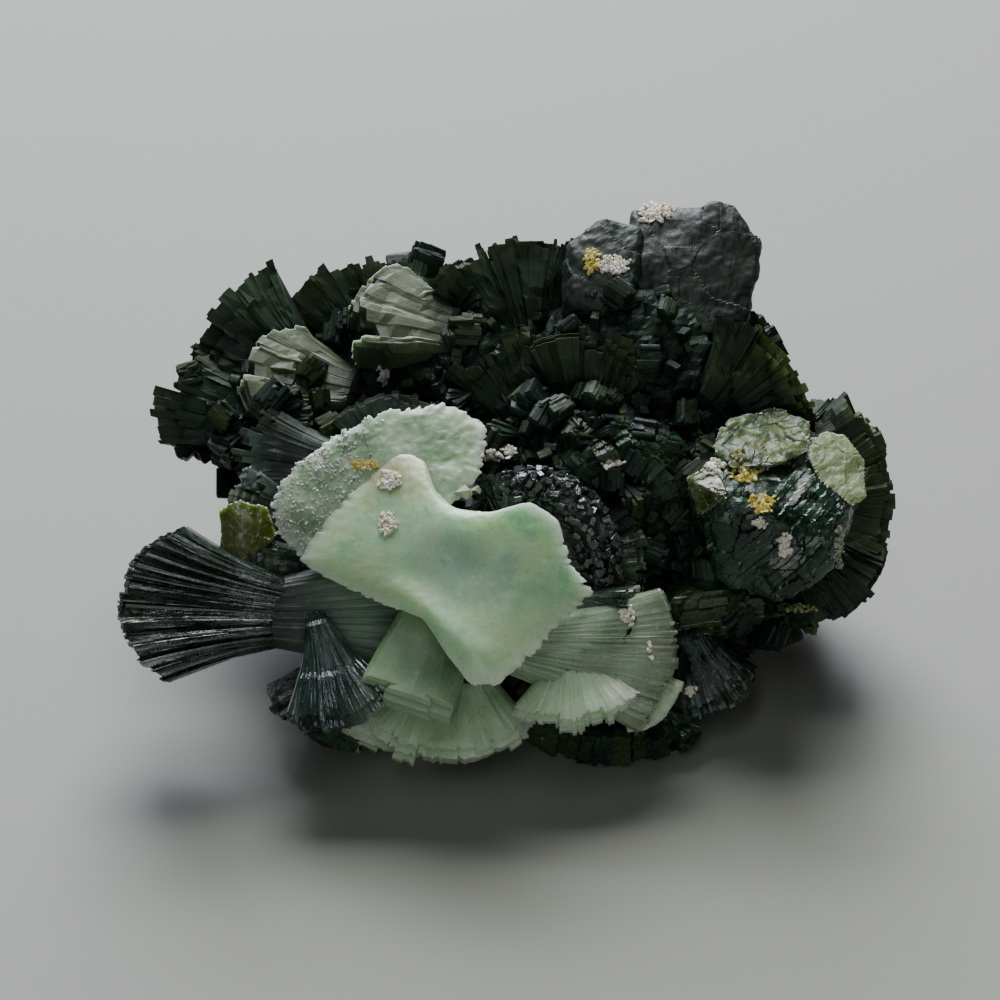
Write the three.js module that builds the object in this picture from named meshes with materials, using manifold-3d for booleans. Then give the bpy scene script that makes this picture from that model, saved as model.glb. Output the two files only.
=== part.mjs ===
// A hand specimen of prehnite: one intergrown cluster of fan-shaped sheaves, each a stack of flat
// crystals that splay from a narrow waist. Millimetres, +Z up, +X to the specimen's right and -Y
// towards its pale front. It rests on z = 0, with the origin under the middle of its box.
import * as THREE from "three";
import { ConvexGeometry } from "three/addons/geometries/ConvexGeometry.js";
import { mergeVertices } from "three/addons/utils/BufferGeometryUtils.js";
import Module from "manifold-3d";

const wasm = await Module();
wasm.setup();

const DEGREE = Math.PI / 180;
const GOLDEN_TURN = Math.PI * (3 - Math.sqrt(5));

// Directions that the crystals' widths follow. FACING is square to the front, which looks down on
// the specimen, so a sheaf with that width shows the edges of its stack there.
const FACING = [0, 0.82, -0.57];
const UPRIGHT = [0, 0.57, 0.82];
const SIDEWAYS = [1, 0, 0];
const FLAT = [0, 1, 0];

// How the crystals of a sheaf differ, as shares of their own size. The ends are ragged by that share
// of the length, OVERLAP is how much wider a crystal is than its place in the stack, the shoulder is
// where its end starts to narrow, and its root is buried in the waist.
const RAGGED_END = 0.16;
const OVERLAP = 1.3;
const NARROWING = 0.2;
const SIDE_SLIP = 0.06;
const BURIED = 0.12;
const SHOULDER = 0.9;
const TIP_WIDTH = 0.72;
const TIP_THICKNESS = 0.8;
const COMMON_CROWN = 0.1;

// The dark body that the sheaves grow from: rough lumps, each with its centre and half sizes. A
// lump's corners are pushed out to between LEAST_SWELL and MOST_SWELL of those.
const LUMPS = [
  { centre: [-5, -1, 8.5], half: [9, 8, 7.5] },
  { centre: [5, 0.5, 9.5], half: [10, 8, 9.5] },
  { centre: [13.5, 0, 9], half: [7, 7.5, 8] },
  { centre: [-11, 7.5, 11], half: [8, 6, 5.5] },
  { centre: [2, -7, 6], half: [9, 5.5, 5.5] },
  { centre: [8, 8, 14.5], half: [8, 6, 9] },
  { centre: [-2, 9, 13], half: [7, 6, 7] },
];
const LUMP_CORNERS = 18;
const LEAST_SWELL = 0.88;
const MOST_SWELL = 1.08;

// The sheaves. root and tip are the middle of each end, across is the direction of the crystals'
// width, waist is the thickness and width at the root, width that at the tip, spread the whole angle
// of the fan in degrees, plates the crystals in the stack, columns how many lie side by side in each
// plate, and crown the share by which the outer plates fall short of the middle one.
const BOW = [
  // The dark bow at the left, and its pale half that runs in under the front blade
  { root: [-14.5, -11, 10.6], tip: [-25.6, -10.2, 11.1], across: FACING,
    waist: [5, 4], width: 8.5, spread: 42, plates: 7, columns: 2, crown: 0.26 },
  { root: [-15.5, -11, 10.6], tip: [-3.9, -9.2, 10.9], across: FACING,
    waist: [4.6, 4], width: 8, spread: 50, plates: 5 },
];
const PALE_FANS = [
  // Below the front blade, from the left: the glinting fan, the flat one and the two comb-edged ones
  { root: [-12.3, -12.2, 10.6], tip: [-10.2, -17.6, 5.8], across: FACING,
    waist: [1.6, 2.2], width: 4, spread: 56, plates: 5, crown: 0.14 },
  { root: [-3.8, -10.8, 12.6], tip: [-6.8, -16.6, 6.6], across: SIDEWAYS,
    waist: [2.6, 3.6], width: 6.2, spread: 24, plates: 3, crown: 0.05 },
  { root: [-3.9, -9.8, 7.4], tip: [-4.4, -15.8, 1.9], across: FACING,
    waist: [2.6, 2.4], width: 3.4, spread: 72, plates: 6, crown: 0.12 },
  { root: [-7, -8.9, 5.3], tip: [-8.2, -13.8, 0.9], across: FACING,
    waist: [2.6, 2.4], width: 3.6, spread: 56, plates: 4 },
  // The fan that runs to the right, the rough-rimmed one below it and the gray plate at its end
  { root: [-1.3, -13.2, 9.8], tip: [11, -13.2, 8], across: FACING,
    waist: [2.8, 2.2], width: 3.4, spread: 36, plates: 6, crown: 0.08 },
  { root: [3.8, -12.6, 9.2], tip: [4.5, -17.3, 5.6], across: FACING,
    waist: [2.2, 1.8], width: 2.8, spread: 78, plates: 6, crown: 0.08 },
  { root: [6.6, -12.2, 7.6], tip: [10, -14.6, 4.8], across: FACING,
    waist: [1.6, 1.6], width: 2.2, spread: 44, plates: 3 },
];
const FOOT = [
  // The olive blade and the dark foot at the lower left
  { root: [-11, -8.8, 5.6], tip: [-15.8, -11, 2.7], across: FLAT,
    waist: [1, 2], width: 2.6, spread: 16, plates: 2, crown: 0.04 },
  { root: [-9.5, -8.2, 5], tip: [-12.2, -13, 0.5], across: FLAT,
    waist: [2, 2.4], width: 4, spread: 44, plates: 3 },
  // The mass that stands on the table, and the fans below the block
  { root: [6.6, -8.5, 3.4], tip: [5.8, -14.6, 0.6], across: FACING,
    waist: [3, 3], width: 5, spread: 116, plates: 7, crown: 0.06 },
  { root: [11, -6, 6.4], tip: [13.6, -10.4, 1], across: FACING,
    waist: [2.4, 3], width: 5, spread: 58, plates: 4 },
  { root: [12.5, -3, 9.5], tip: [13.5, -8.5, 6.2], across: SIDEWAYS,
    waist: [2.4, 4], width: 7, spread: 60, plates: 4 },
];
const DARK_FANS = [
  // The stack of columns right of the front blade, and the small fan over it
  { root: [3.2, -10.3, 11], tip: [8.8, -11.8, 10.2], across: FACING,
    waist: [1.8, 2.4], width: 4, spread: 34, plates: 4 },
  { root: [4, -7, 11.4], tip: [9.5, -8, 11.4], across: FACING,
    waist: [2.6, 2.4], width: 3.6, spread: 76, plates: 6 },
  // The arc of short crystals that follows the front blade's right end
  { root: [0.6, -7.8, 12.2], tip: [4.6, -5.6, 15.8], across: FACING,
    waist: [3, 2.4], width: 3.6, spread: 140, plates: 9, crown: 0 },
  // The fans in the middle, seen on edge
  { root: [7.2, -2.6, 13.4], tip: [4.5, -2.2, 18.8], across: FACING,
    waist: [2.2, 3], width: 4.6, spread: 56, plates: 4 },
  { root: [7.8, -2.6, 13.4], tip: [9.6, -0.6, 19.3], across: FACING,
    waist: [2.2, 3], width: 4.6, spread: 50, plates: 4 },
  { root: [7.4, -3.6, 13.6], tip: [11.2, -3, 17.4], across: FACING,
    waist: [2, 2.4], width: 3.6, spread: 44, plates: 3 },
];
const RIGHT_FANS = [
  // Behind the block
  { root: [18.2, 0.6, 11], tip: [26, 1.4, 9.8], across: FACING,
    waist: [4, 4], width: 7, spread: 78, plates: 6 },
  { root: [18.4, 1.6, 12.6], tip: [23.6, 6.2, 13.4], across: UPRIGHT,
    waist: [3, 3.6], width: 6.4, spread: 54, plates: 4 },
  { root: [18.6, -1, 9.8], tip: [23.8, -3.2, 4.9], across: FACING,
    waist: [3, 3.4], width: 6, spread: 50, plates: 4 },
  // The shoulder under the highest crystal
  { root: [13.5, 3.2, 16.2], tip: [19.2, 6.2, 20], across: FACING,
    waist: [3.6, 4.4], width: 8.5, spread: 76, plates: 5 },
];
const MIDDLE_FANS = [
  { root: [1.4, 9, 17], tip: [-0.3, 15.2, 22.8], across: FACING,
    waist: [2.6, 3.4], width: 5.6, spread: 50, plates: 4 },
  { root: [2, 2.6, 13.6], tip: [0.6, 8.4, 20.6], across: SIDEWAYS,
    waist: [2.6, 4], width: 6.4, spread: 58, plates: 4, columns: 2 },
  { root: [4.8, 2, 15], tip: [5.2, 5.6, 22.2], across: SIDEWAYS,
    waist: [2.6, 3.4], width: 5.4, spread: 52, plates: 3, columns: 2 },
];
const WING = [
  { root: [-12, 8.8, 13], tip: [-21.8, 12.4, 14.8], across: FACING,
    waist: [3.8, 4.4], width: 8, spread: 46, plates: 4 },
  { root: [-7.4, 10, 14], tip: [-11, 18.4, 19.4], across: FACING,
    waist: [3.6, 4.4], width: 8, spread: 60, plates: 5 },
  { root: [-8.6, 7, 14.6], tip: [-16.2, 10.3, 17.8], across: FLAT,
    waist: [2.4, 4.4], width: 8, spread: 40, plates: 3 },
  { root: [-6, 9.4, 13.6], tip: [-5.2, 16, 19.2], across: SIDEWAYS,
    waist: [3, 4], width: 7, spread: 50, plates: 4 },
  { root: [-13.6, 6.6, 12.6], tip: [-24.6, 10, 14.3], across: FACING,
    waist: [3, 4], width: 6.4, spread: 26, plates: 4 },
];
const LEDGES = [
  // Between the wing and the front blade
  { root: [-9, 1.6, 12.2], tip: [-19.3, 2, 12.6], across: FLAT,
    waist: [3, 4.4], width: 8, spread: 46, plates: 4 },
  { root: [-7.2, 1, 12.6], tip: [-7.8, 4.4, 18], across: SIDEWAYS,
    waist: [2.6, 3.6], width: 6.4, spread: 60, plates: 4, columns: 2 },
  { root: [-12.6, -3, 11.4], tip: [-18.8, -5.6, 14.4], across: FLAT,
    waist: [2, 2.6], width: 4, spread: 34, plates: 3 },
];
const BACK = [
  // The side that faces away from the pale front
  { root: [5, 9, 12], tip: [3, 19, 12.6], across: SIDEWAYS,
    waist: [4, 4], width: 8, spread: 70, plates: 5 },
  { root: [10, 8.4, 12.4], tip: [16.4, 16.8, 14.6], across: UPRIGHT,
    waist: [4, 4], width: 8.4, spread: 66, plates: 4 },
  { root: [-4, 8.4, 9.6], tip: [-7.6, 17.4, 7.6], across: SIDEWAYS,
    waist: [4, 4], width: 8, spread: 64, plates: 4 },
  { root: [10, 6.6, 7.6], tip: [13, 14.6, 3.4], across: SIDEWAYS,
    waist: [4, 4], width: 8, spread: 60, plates: 4 },
  { root: [1.6, 6, 6.4], tip: [1, 13.6, 1.6], across: SIDEWAYS,
    waist: [4, 4], width: 8, spread: 60, plates: 4 },
  { root: [-9, 4, 7.6], tip: [-15.4, 5.6, 3.6], across: FLAT,
    waist: [3.4, 4], width: 7, spread: 60, plates: 4 },
  { root: [16.4, 3, 7.6], tip: [21.4, 6.4, 3.6], across: FLAT,
    waist: [3.4, 4], width: 7, spread: 60, plates: 4 },
];
const SHEAVES = [
  ...BOW,
  ...PALE_FANS,
  ...FOOT,
  ...DARK_FANS,
  ...RIGHT_FANS,
  ...MIDDLE_FANS,
  ...WING,
  ...LEDGES,
  ...BACK,
];

// Thick single crystals, each the hull of its corners.
const BLOCKS = [
  // The squat block at the right with the yellow crust on its top
  [
    [11.6, -6.9, 18.2], [13.7, -2.6, 18.3], [16, -0.2, 18.2], [19, 0.8, 17.9], [22.2, -0.7, 17.4],
    [22.4, -5.7, 16.5], [20.5, -8.4, 16], [16, -8.9, 17.1], [12.2, -7.9, 16.6], [13.2, -9.4, 11.2],
    [18, -10.6, 10.3], [20.9, -9.2, 12.3], [22.5, -5.6, 14], [14, -1, 11], [20, -1, 12],
  ],
  // The highest crystal, then its left neighbour
  [
    [7.7, 13.8, 26.3], [12, 13.6, 26], [15.2, 14.1, 26.7], [17, 11.6, 24.6], [15.9, 6.5, 19.8],
    [8.6, 6.5, 20.4], [7.3, 9.2, 24.4], [9, 16, 20], [15.6, 16, 21],
  ],
  [
    [3.6, 10.3, 25.6], [6, 11.9, 26.7], [9.4, 12, 26.2], [3.3, 6.8, 22.8], [7.9, 6, 23.2],
    [4, 8, 17], [8.6, 7.4, 17], [5, 13.6, 20], [9, 13.4, 20],
  ],
  // The olive crystal between the bow and the front blade
  [
    [-18.9, -6.4, 15.4], [-17.4, -6, 16], [-15.6, -6.6, 15.8], [-15, -8, 14.6],
    [-16.8, -8.8, 12.4], [-18.6, -7.8, 12.8], [-15.6, -5, 12.4], [-18.2, -4.6, 13.2],
  ],
];

// The front blade, a waisted plate: its edge, and how far its two faces swell from that edge.
const FRONT_BLADE = {
  edge: [
    [-13.4, -10.3, 14.2], [-10.6, -7.7, 17.1], [-7.1, -5.6, 19.2], [-5.5, -6.3, 19.1],
    [-4.8, -8.1, 18.2], [-3.5, -9.6, 17.8], [-1.3, -10.6, 18.2], [1.2, -11, 19.2],
    [3, -11.7, 18.3], [3.7, -13, 16.3], [5.1, -13.4, 13.9], [3.1, -15.1, 12.6],
    [1.2, -17, 11.6], [-0.7, -18.8, 10.8], [-2.5, -18.8, 10.8], [-4.1, -17.2, 12],
    [-5.6, -15.2, 13.2], [-8.9, -13.2, 13.3],
  ],
  middle: [-4, -12.2, 15.4],
  front: 1.1,
  back: 2.6,
};
// The rough blade that stands behind its upper end.
const REAR_BLADE = {
  edge: [
    [-15.3, -7.6, 16.4], [-14, -5.8, 18.1], [-11.6, -4.2, 19.4], [-8.5, -2.9, 20.5],
    [-4.5, -2.1, 20.7], [-1.9, -2.7, 19.9], [-1.5, -4.4, 19.1], [-1.9, -6.2, 18.2],
    [-3.5, -8, 17.2], [-8, -10.4, 15], [-13.6, -9.8, 14.2],
  ],
  middle: [-8, -5.8, 17.8],
  front: 0.5,
  back: 2.8,
};
// How large each ring of a blade's face is, from its edge inwards.
const BLADE_RINGS = [1, 0.86, 0.5];

// The middle, in X and Y, of the box that all of the places above fill.
const MIDDLE = [0.25, 0.8];

const ROCK = { color: 0x25301f, roughness: 0.35, metalness: 0 };
const FLOOR_BLOCK = { side: 80, depth: 20 };
const SMALLEST_EDGE = 0.1;

// A number from 0 to 1 that depends only on the two numbers given.
function chance(seed, index) {
  const wave = Math.sin(seed * 127.1 + index * 311.7) * 43758.5453;
  return wave - Math.floor(wave);
}

// A solid from a closed geometry.
function solid(geometry) {
  geometry.deleteAttribute("normal");
  geometry.deleteAttribute("uv");
  const merged = mergeVertices(geometry);
  const vertProperties = new Float32Array(merged.attributes.position.array);
  const triVerts = new Uint32Array(merged.index.array);
  return new wasm.Manifold(new wasm.Mesh({ numProp: 3, vertProperties, triVerts }));
}

// A flat-faced crystal: the hull of its corners.
function crystal(corners) {
  return solid(new ConvexGeometry(corners));
}

// A rough lump: the hull of points spread evenly over an ellipsoid and pushed in or out a little.
function lump({ centre, half }, seed) {
  const middle = new THREE.Vector3(...centre);
  const halfSize = new THREE.Vector3(...half);
  const corners = [];
  for (let i = 0; i < LUMP_CORNERS; i++) {
    const height = 1 - (2 * (i + 0.5)) / LUMP_CORNERS;
    const round = Math.sqrt(1 - height * height);
    const turn = i * GOLDEN_TURN;
    const swell = LEAST_SWELL + (MOST_SWELL - LEAST_SWELL) * chance(seed, i);
    const way = new THREE.Vector3(round * Math.cos(turn), round * Math.sin(turn), height);
    corners.push(way.multiply(halfSize).multiplyScalar(swell).add(middle));
  }
  return crystal(corners);
}

// The four corners of a crystal's cross-section, about its middle.
function section(middle, width, halfWidth, thickness, halfThickness) {
  return [[-1, -1], [-1, 1], [1, -1], [1, 1]].map(([a, b]) =>
    middle.clone().addScaledVector(width, a * halfWidth).addScaledVector(thickness, b * halfThickness));
}

// The crystals of one sheaf. Each is the hull of its sections at the buried root, shoulder and tip.
function sheaf(shape, seed) {
  const { columns = 1, crown = COMMON_CROWN } = shape;
  const [waistThickness, waistWidth] = shape.waist;
  const root = new THREE.Vector3(...shape.root);
  const axis = new THREE.Vector3(...shape.tip).sub(root);
  const length = axis.length();
  axis.normalize();
  const width = new THREE.Vector3(...shape.across);
  width.addScaledVector(axis, -width.dot(axis)).normalize();
  const stack = new THREE.Vector3().crossVectors(axis, width);
  const tipThickness = length * shape.spread * DEGREE + waistThickness;
  const columnShare = columns > 1 ? OVERLAP / columns : 1;
  const plateShare = OVERLAP / shape.plates;
  const crystals = [];
  for (let i = 0; i < shape.plates; i++) {
    const place = ((i + 0.5) / shape.plates) * 2 - 1;
    const angle = (place * shape.spread * DEGREE) / 2;
    const along = axis.clone().multiplyScalar(Math.cos(angle)).addScaledVector(stack, Math.sin(angle));
    const normal = stack.clone().multiplyScalar(Math.cos(angle)).addScaledVector(axis, -Math.sin(angle));
    const start = root.clone().addScaledVector(stack, (place * waistThickness) / 2);
    for (let j = 0; j < columns; j++) {
      const id = i * columns + j;
      const side = columns > 1 ? ((2 * j) / (columns - 1) - 1) * (1 - columnShare) : 0;
      const reach = length * (1 - crown * place * place) * (1 - RAGGED_END * chance(seed, id));
      const slip = (2 * chance(seed + 0.1, id) - 1) * SIDE_SLIP * shape.width;
      const narrowed = 1 - NARROWING * chance(seed + 0.2, id);
      const at = (part, wholeWidth, wide, thickness) => {
        const middle = start.clone().addScaledVector(along, part * reach);
        middle.addScaledVector(width, (side * wholeWidth) / 2 + slip * part);
        const halfWidth = (wholeWidth * columnShare * wide) / 2;
        return section(middle, width, halfWidth, normal, (thickness * plateShare) / 2);
      };
      crystals.push(crystal([
        ...at(-BURIED, waistWidth, 1, waistThickness),
        ...at(SHOULDER, shape.width, narrowed, tipThickness * SHOULDER),
        ...at(1, shape.width, narrowed * TIP_WIDTH, tipThickness * TIP_THICKNESS),
      ]));
    }
  }
  return crystals;
}

// A plate with a free outline: rings shrink from its edge to its middle, on a front and a back face.
function blade({ edge, middle, front, back }) {
  const rim = edge.map((p) => new THREE.Vector3(...p));
  const centre = new THREE.Vector3(...middle);
  const facing = new THREE.Vector3();
  rim.forEach((p, i) => {
    const next = rim[(i + 1) % rim.length];
    facing.add(p.clone().sub(centre).cross(next.clone().sub(centre)));
  });
  facing.normalize();
  const places = [];
  const swell = (ring) => Math.sqrt(1 - ring * ring);
  const addRing = (ring, lift) =>
    rim.forEach((p) => places.push(centre.clone().lerp(p, ring).addScaledVector(facing, lift * swell(ring))));
  addRing(1, 0);
  for (const lift of [-front, back]) {
    BLADE_RINGS.slice(1).forEach((ring) => addRing(ring, lift));
    places.push(centre.clone().addScaledVector(facing, lift));
  }
  const count = rim.length;
  const faceSize = count * (BLADE_RINGS.length - 1) + 1;
  const index = [];
  for (const [first, turned] of [[count, false], [count + faceSize, true]]) {
    const ringStart = (k) => (k === 0 ? 0 : first + (k - 1) * count);
    const add = (a, b, c) => index.push(...(turned ? [a, b, c] : [a, c, b]));
    for (let k = 0; k < BLADE_RINGS.length; k++) {
      for (let i = 0; i < count; i++) {
        const j = (i + 1) % count;
        if (k === BLADE_RINGS.length - 1) {
          add(ringStart(k) + i, ringStart(k) + j, first + faceSize - 1);
        } else {
          add(ringStart(k) + i, ringStart(k) + j, ringStart(k + 1) + j);
          add(ringStart(k) + i, ringStart(k + 1) + j, ringStart(k + 1) + i);
        }
      }
    }
  }
  const geometry = new THREE.BufferGeometry().setFromPoints(places);
  geometry.setIndex(index);
  return solid(geometry);
}

// Everything joined in one body and cut flat where it rests. The slivers and the pinholes of the
// joins are taken out, so what is left is the largest body.
function cluster() {
  const pieces = [
    ...LUMPS.map(lump),
    ...SHEAVES.flatMap(sheaf),
    ...BLOCKS.map((corners) => crystal(corners.map((p) => new THREE.Vector3(...p)))),
    blade(FRONT_BLADE),
    blade(REAR_BLADE),
  ];
  const { side, depth } = FLOOR_BLOCK;
  const floor = solid(new THREE.BoxGeometry(side, side, depth).translate(0, 0, -depth / 2));
  const joined = pieces.reduce((whole, piece) => whole.add(piece)).subtract(floor);
  const bodies = joined.translate(-MIDDLE[0], -MIDDLE[1], 0).asOriginal().simplify(SMALLEST_EDGE).decompose();
  return bodies.reduce((largest, body) => (body.volume() > largest.volume() ? body : largest));
}

// A mesh's geometry from a solid.
function geometryOf(body) {
  const mesh = body.getMesh();
  const geometry = new THREE.BufferGeometry();
  geometry.setAttribute("position", new THREE.BufferAttribute(mesh.vertProperties, 3));
  geometry.setIndex(new THREE.BufferAttribute(mesh.triVerts, 1));
  geometry.computeVertexNormals();
  return geometry;
}

const prehnite = new THREE.Mesh(
  geometryOf(cluster()),
  new THREE.MeshStandardMaterial({ ...ROCK, flatShading: true }),
);
prehnite.name = "prehnite_cluster";

const specimen = new THREE.Group();
specimen.add(prehnite);

export default specimen;
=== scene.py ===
"""Dresses a hand specimen of dark prehnite with pale green blades at its front.

The specimen is one intergrown cluster. Its looks are made here as fine crystals around the same
places as its solid has: fans of flat crystals, rough blocks, two pale blades, a grainy body that
carries them, and crusts of calcite. All places are millimetres in the solid's own frame, with +Z up
and -Y towards the pale front, and each finished mesh is in metres.
"""
import logging
import math
from dataclasses import dataclass, replace
from enum import Enum
from typing import Any, ClassVar

import bmesh
import bpy
import numpy as np
from mathutils import Matrix, Vector, noise
from mathutils.bvhtree import BVHTree


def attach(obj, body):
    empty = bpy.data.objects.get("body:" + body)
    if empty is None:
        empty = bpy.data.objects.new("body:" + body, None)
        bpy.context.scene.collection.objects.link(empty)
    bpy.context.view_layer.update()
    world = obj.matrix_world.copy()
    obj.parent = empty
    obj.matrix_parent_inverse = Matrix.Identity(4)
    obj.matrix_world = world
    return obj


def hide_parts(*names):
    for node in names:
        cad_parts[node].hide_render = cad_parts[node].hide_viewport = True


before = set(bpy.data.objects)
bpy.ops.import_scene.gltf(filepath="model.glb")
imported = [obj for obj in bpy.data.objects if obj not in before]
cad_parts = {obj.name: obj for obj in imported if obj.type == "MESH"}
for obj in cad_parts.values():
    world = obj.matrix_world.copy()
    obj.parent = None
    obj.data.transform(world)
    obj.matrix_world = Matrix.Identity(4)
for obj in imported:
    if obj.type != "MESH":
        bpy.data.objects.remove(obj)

log = logging.getLogger("prehnite")

NODE = "prehnite_cluster"
BODY = "root"
MM = 0.001
DEGREE = math.pi / 180

# The middle of the solid's box in X and Y. The places below are measured before it is centred.
MIDDLE = Vector((0.25, 0.8, 0.0))

# Of a crystal's length, what is sunk in what it grows from, and its chamfers
BURIED = 0.12
CHAMFER_WIDE = 0.025
CHAMFER_THICK = 0.2

# The draw of the noise vectors that tilt the facets. Unset, it would follow the clock.
NOISE_SEED = 1795853040

# Where a fan's ribs have points, as shares of their length
STATIONS = np.array([-BURIED, -0.06, 0.0, 0.05, 0.1, 0.2, 0.3, 0.4, 0.47, 0.5, 0.54, 0.6, 0.7, 0.8, 0.88,
                     0.95])

# Where the rings of a blade's face lie, from its edge towards its middle
RINGS = 1 - np.linspace(0, 1, 44)[:-1] ** 1.5

# The camera: what it looks at, from how far, and how steeply down
TARGET = Vector((-0.9, -4.8, 14.5))
DISTANCE = 310.0
LOOK_DOWN = 35 * DEGREE
LENS = 171.7
SENSOR = 36.0
PICTURE = 1000

Place = tuple[float, float, float]
Size = tuple[float, float]
Mesh = bpy.types.Mesh
Piece = bpy.types.Object
Node = bpy.types.Node
Socket = bpy.types.NodeSocket


class Across(Enum):
    """Directions that the widths of a fan's crystals follow. FACING is square to the front view."""

    FACING = (0.0, 0.82, -0.57)
    UPRIGHT = (0.0, 0.57, 0.82)
    SIDEWAYS = (1.0, 0.0, 0.0)
    FLAT = (0.0, 1.0, 0.0)
    TOP = (0.0, 0.3, -0.95)


class Slot(Enum):
    """The record's material slots."""

    DARK = "dark_prehnite"
    PALE = "pale_prehnite"
    CALCITE = "calcite"


class End(Enum):
    """How a flat crystal ends: sections of place along, width, thickness, slant and sideways shift."""

    BLUNT = ((1.0, 0.9, 0.82, 0.0, 0.0),)
    SLANTED = ((0.97, 0.94, 0.85, 0.07, 0.0),)
    STEPPED = ((0.93, 1.0, 0.92, 0.0, 0.0), (0.935, 0.52, 0.84, 0.0, 0.2), (1.0, 0.48, 0.74, 0.0, 0.2))
    CHISEL = ((0.955, 0.96, 0.84, -0.03, 0.0), (1.0, 0.7, 0.3, -0.03, 0.0))


def linear(code: str) -> tuple[float, float, float, float]:
    """Turns an sRGB hex colour into linear values.

    Args:
        code: six hex digits after a hash sign.

    Returns:
        Red, green, blue and alpha for a colour socket.
    """
    parts = [int(code[i:i + 2], 16) / 255 for i in (1, 3, 5)]
    red, green, blue = (c / 12.92 if c <= 0.04045 else ((c + 0.055) / 1.055) ** 2.4 for c in parts)
    return red, green, blue, 1.0


def add(tree: bpy.types.NodeTree, kind: str, inputs: dict[Any, Any] | None = None,
        **settings: Any) -> Node:
    """Adds a node with its settings and its inputs.

    Args:
        tree: the node tree that it goes into.
        kind: the node's type.
        inputs: values, sockets or nodes by input number, identifier or name.
        settings: the node's own properties.

    Returns:
        The new node.
    """
    node = tree.nodes.new(kind)
    for name, value in settings.items():
        setattr(node, name, value)
    for key, value in (inputs or {}).items():
        if isinstance(key, int):
            socket = node.inputs[key]
        else:
            named = [s for s in node.inputs if s.identifier == key]
            socket = (named or [s for s in node.inputs if s.name == key and s.enabled])[0]
        if isinstance(value, Node):
            value = next(s for s in value.outputs if s.enabled)
        if isinstance(value, Socket):
            tree.links.new(value, socket)
        else:
            socket.default_value = value
    return node


def placed(name: str, data: Any) -> Piece:
    """A new object in the scene that shows a mesh, a lamp or a camera.

    Args:
        name: its name.
        data: what it shows.

    Returns:
        The object, at the origin.
    """
    made = bpy.data.objects.new(name, data)
    bpy.context.collection.objects.link(made)
    return made


def in_frame(place: Place) -> Vector:
    """A place of the tables in the solid's frame, in millimetres."""
    return Vector(place) - MIDDLE


def pixel_ray(pixel: Size) -> tuple[Vector, Vector]:
    """The line of sight through a pixel of the photograph.

    Args:
        pixel: its place from the left and the top of a picture of 1000 by 1000.

    Returns:
        The eye's place in millimetres and the unit direction.
    """
    forward = Vector((0.0, math.cos(LOOK_DOWN), -math.sin(LOOK_DOWN)))
    up = Vector((0.0, math.sin(LOOK_DOWN), math.cos(LOOK_DOWN)))
    half = PICTURE / 2
    reach = SENSOR / 2 / LENS
    right = (pixel[0] - half) / half * reach
    rise = (half - pixel[1]) / half * reach
    direction = forward + up * rise + Vector((right, 0.0, 0.0))
    return TARGET - forward * DISTANCE, direction.normalized()


def smooth(value: np.ndarray, low: float, high: float) -> np.ndarray:
    """A smooth step from 0 at low to 1 at high."""
    share = np.clip((value - low) / (high - low), 0.0, 1.0)
    return share * share * (3 - 2 * share)


def chance(index: np.ndarray, seed: float) -> np.ndarray:
    """Numbers from 0 to 1 that depend only on the index and the seed."""
    wave = np.sin(index * 127.1 + seed * 311.7) * 43758.5453
    return wave - np.floor(wave)


def bumps(places: np.ndarray, size: float, octaves: int, seed: float) -> np.ndarray:
    """Fractal noise of about -1 to 1 at places, with largest bumps of a size in their unit."""
    shift = Vector((seed, -seed, 0.5 * seed))
    return np.array([noise.fractal(Vector(p) / size + shift, 0.9, 2.0, octaves) for p in places])


def facets(places: np.ndarray, size: float, seed: float) -> np.ndarray:
    """Small planes that each tilt their own way, with ledges between them.

    Args:
        places: points, one a row.
        size: a plane's width in the points' unit.
        seed: shifts the pattern.

    Returns:
        About -1 to 1 for each point.
    """
    shift = Vector((seed, 2 * seed, -seed))
    heights = []
    for place in places:
        spot = Vector(place) / size + shift
        cell = noise.voronoi(spot)[1][0]
        heights.append(noise.noise_vector(cell * 7.3).dot(spot - cell) + 0.6 * noise.noise(cell * 3.7))
    return np.array(heights)


# Finishes


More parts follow.
